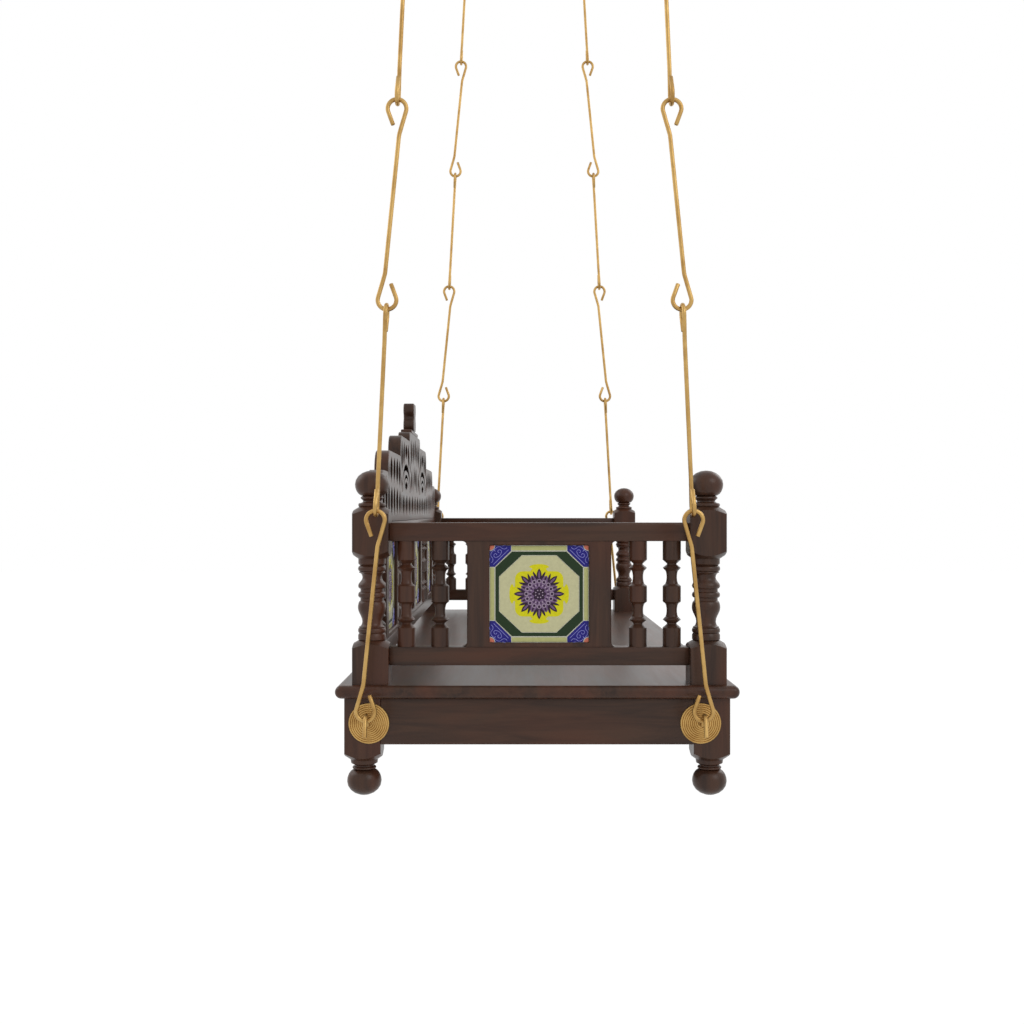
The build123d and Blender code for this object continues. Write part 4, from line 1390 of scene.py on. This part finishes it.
def glaze(name):
    """A glossy glaze of one of the tile's colours that pools and mottles a little."""
    if name in GLAZES:
        return GLAZES[name]
    tint = getattr(bpy.context.scene.jhoola_tile, name)
    material, nodes, links, shader = new_material(f"glaze_{name}")
    mottle = noise_on(nodes, links, scale=260.0, detail=4.0, roughness=0.6)
    blend = add_node(nodes, "ShaderNodeMix", data_type="RGBA")
    blend.inputs[MIX_FIRST].default_value = (*[part * 0.82 for part in tint], 1)
    blend.inputs[MIX_SECOND].default_value = (*[min(1, part * 1.1 + 0.004) for part in tint], 1)
    links.new(mottle.outputs["Fac"], blend.inputs[MIX_SHARE])
    links.new(blend.outputs[MIX_RESULT], shader.inputs["Base Color"])
    shader.inputs["Roughness"].default_value = 0.22
    shader.inputs["Specular IOR Level"].default_value = 0.2
    roughen(nodes, links, mottle, shader, strength=0.1, distance=0.0004)
    GLAZES[name] = material
    return material


# ---- Stage ------------------------------------------------------------------------------------
EYE_DISTANCE = 2.588
EYE_ABOVE_SEAT = 0.2613
EYE_Y = 0.0334
LENS = 43.45
FLOOR_BELOW_SEAT = 0.45


class JHOOLA_OT_stage(bpy.types.Operator):
    """Sets up the camera, the pale floor, the soft lamps and the white surroundings"""

    bl_idname = "jhoola.stage"
    bl_label = "Stage"

    def execute(self, context):
        """The eye is level, beside the left arm, and looks along the seat."""
        camera_data = bpy.data.cameras.new("camera")
        camera_data.lens = LENS
        camera_data.sensor_width = 36
        camera_data.clip_end = 60
        camera = bpy.data.objects.new("camera", camera_data)
        camera.location = (-EYE_DISTANCE, EYE_Y, SEAT_TOP + EYE_ABOVE_SEAT)
        camera.rotation_euler = (pi / 2, 0, -pi / 2)
        context.scene.collection.objects.link(camera)
        context.scene.camera = camera
        deselect()
        bpy.ops.mesh.primitive_plane_add(size=24, location=(0, 0, SEAT_TOP - FLOOR_BELOW_SEAT))
        floor = bpy.context.active_object
        floor.name = "pale_floor"
        floor.data.materials.append(white_surface("pale_floor"))
        surroundings()
        soft_lamp("lamp_left", (-3.2, -2.6, SEAT_TOP + 2.6), 2.2, 40)
        soft_lamp("lamp_right", (2.6, -3.0, SEAT_TOP + 2.4), 2.2, 30)
        soft_lamp("lamp_back", (0.5, 3.2, SEAT_TOP + 2.2), 2.2, 25)
        context.scene.view_settings.view_transform = "Standard"
        return {"FINISHED"}


def soft_lamp(name, place, size, power):
    """A large square lamp that faces the seat."""
    data = bpy.data.lights.new(name, "AREA")
    data.shape = "SQUARE"
    data.size = size
    data.energy = power
    lamp = bpy.data.objects.new(name, data)
    lamp.location = place
    towards = Vector((0, 0, SEAT_TOP)) - lamp.location
    lamp.rotation_euler = towards.to_track_quat("-Z", "Y").to_euler()
    bpy.context.scene.collection.objects.link(lamp)


def looked_at(nodes, links):
    """1 for what the eye or a reflection looks at, and 0 for what only light reaches."""
    rays = nodes.new("ShaderNodeLightPath")
    either = add_node(nodes, "ShaderNodeMath", operation="MAXIMUM")
    links.new(rays.outputs["Is Camera Ray"], either.inputs[0])
    links.new(rays.outputs["Is Glossy Ray"], either.inputs[1])
    return either.outputs["Value"]


def white_surface(name):
    """A floor that is white to the eye and in reflections, and still keeps a soft shadow."""
    material, nodes, links, shader = new_material(name)
    shader.inputs["Base Color"].default_value = (0.9, 0.9, 0.9, 1)
    shader.inputs["Roughness"].default_value = 0.9
    shader.inputs["Specular IOR Level"].default_value = 0.0
    glow = add_node(nodes, "ShaderNodeEmission", strength=1.06)
    share = add_node(nodes, "ShaderNodeMath", operation="MULTIPLY")
    share.inputs[1].default_value = 0.92
    links.new(looked_at(nodes, links), share.inputs[0])
    mix = nodes.new("ShaderNodeMixShader")
    links.new(share.outputs["Value"], mix.inputs["Fac"])
    links.new(shader.outputs["BSDF"], mix.inputs[1])
    links.new(glow.outputs["Emission"], mix.inputs[2])
    links.new(mix.outputs["Shader"], nodes["Material Output"].inputs["Surface"])
    return material


def surroundings():
    """A white world to the eye and in reflections, a little dimmer as light."""
    world = bpy.data.worlds.new("white_surroundings")
    world.use_nodes = True
    nodes, links = world.node_tree.nodes, world.node_tree.links
    light = nodes["Background"]
    light.inputs["Color"].default_value = (1, 1, 1, 1)
    light.inputs["Strength"].default_value = 0.75
    seen = nodes.new("ShaderNodeBackground")
    seen.inputs["Color"].default_value = (1, 1, 1, 1)
    seen.inputs["Strength"].default_value = 1.0
    mix = nodes.new("ShaderNodeMixShader")
    links.new(looked_at(nodes, links), mix.inputs["Fac"])
    links.new(light.outputs["Background"], mix.inputs[1])
    links.new(seen.outputs["Background"], mix.inputs[2])
    links.new(mix.outputs["Shader"], nodes["World Output"].inputs["Surface"])
    bpy.context.scene.world = world


class JHOOLA_PT_panel(bpy.types.Panel):
    """Lists the pieces of the jhoola"""

    bl_label = "Jhoola"
    bl_space_type = "VIEW_3D"
    bl_region_type = "UI"
    bl_category = "Jhoola"

    def draw(self, context):
        """One button for each operator."""
        for operator in OPERATORS:
            self.layout.operator(operator.bl_idname)


OPERATORS = (
    JHOOLA_OT_stage,
    JHOOLA_OT_seat,
    JHOOLA_OT_posts,
    JHOOLA_OT_spindles,
    JHOOLA_OT_boards,
    JHOOLA_OT_crest,
    JHOOLA_OT_tiles,
    JHOOLA_OT_chains,
    JHOOLA_OT_hook_bolts,
    JHOOLA_OT_ceiling,
)
SETTINGS = {"jhoola_wood": JhoolaWood, "jhoola_brass": JhoolaBrass, "jhoola_tile": JhoolaTile}


def register():
    """Adds the settings, the operators and the panel."""
    for name, group in SETTINGS.items():
        bpy.utils.register_class(group)
        setattr(bpy.types.Scene, name, bpy.props.PointerProperty(type=group))
    for operator in OPERATORS:
        bpy.utils.register_class(operator)
    bpy.utils.register_class(JHOOLA_PT_panel)


def unregister():
    """Takes them away again."""
    bpy.utils.unregister_class(JHOOLA_PT_panel)
    for operator in reversed(OPERATORS):
        bpy.utils.unregister_class(operator)
    for name, group in SETTINGS.items():
        delattr(bpy.types.Scene, name)
        bpy.utils.unregister_class(group)


def main():
    """Makes every piece in order."""
    register()
    bpy.ops.jhoola.stage()
    bpy.ops.jhoola.seat()
    bpy.ops.jhoola.posts()
    bpy.ops.jhoola.spindles()
    bpy.ops.jhoola.boards()
    bpy.ops.jhoola.crest()
    bpy.ops.jhoola.tiles()
    bpy.ops.jhoola.chains()
    bpy.ops.jhoola.hook_bolts()
    bpy.ops.jhoola.ceiling()


if __name__ == "__main__":
    main()
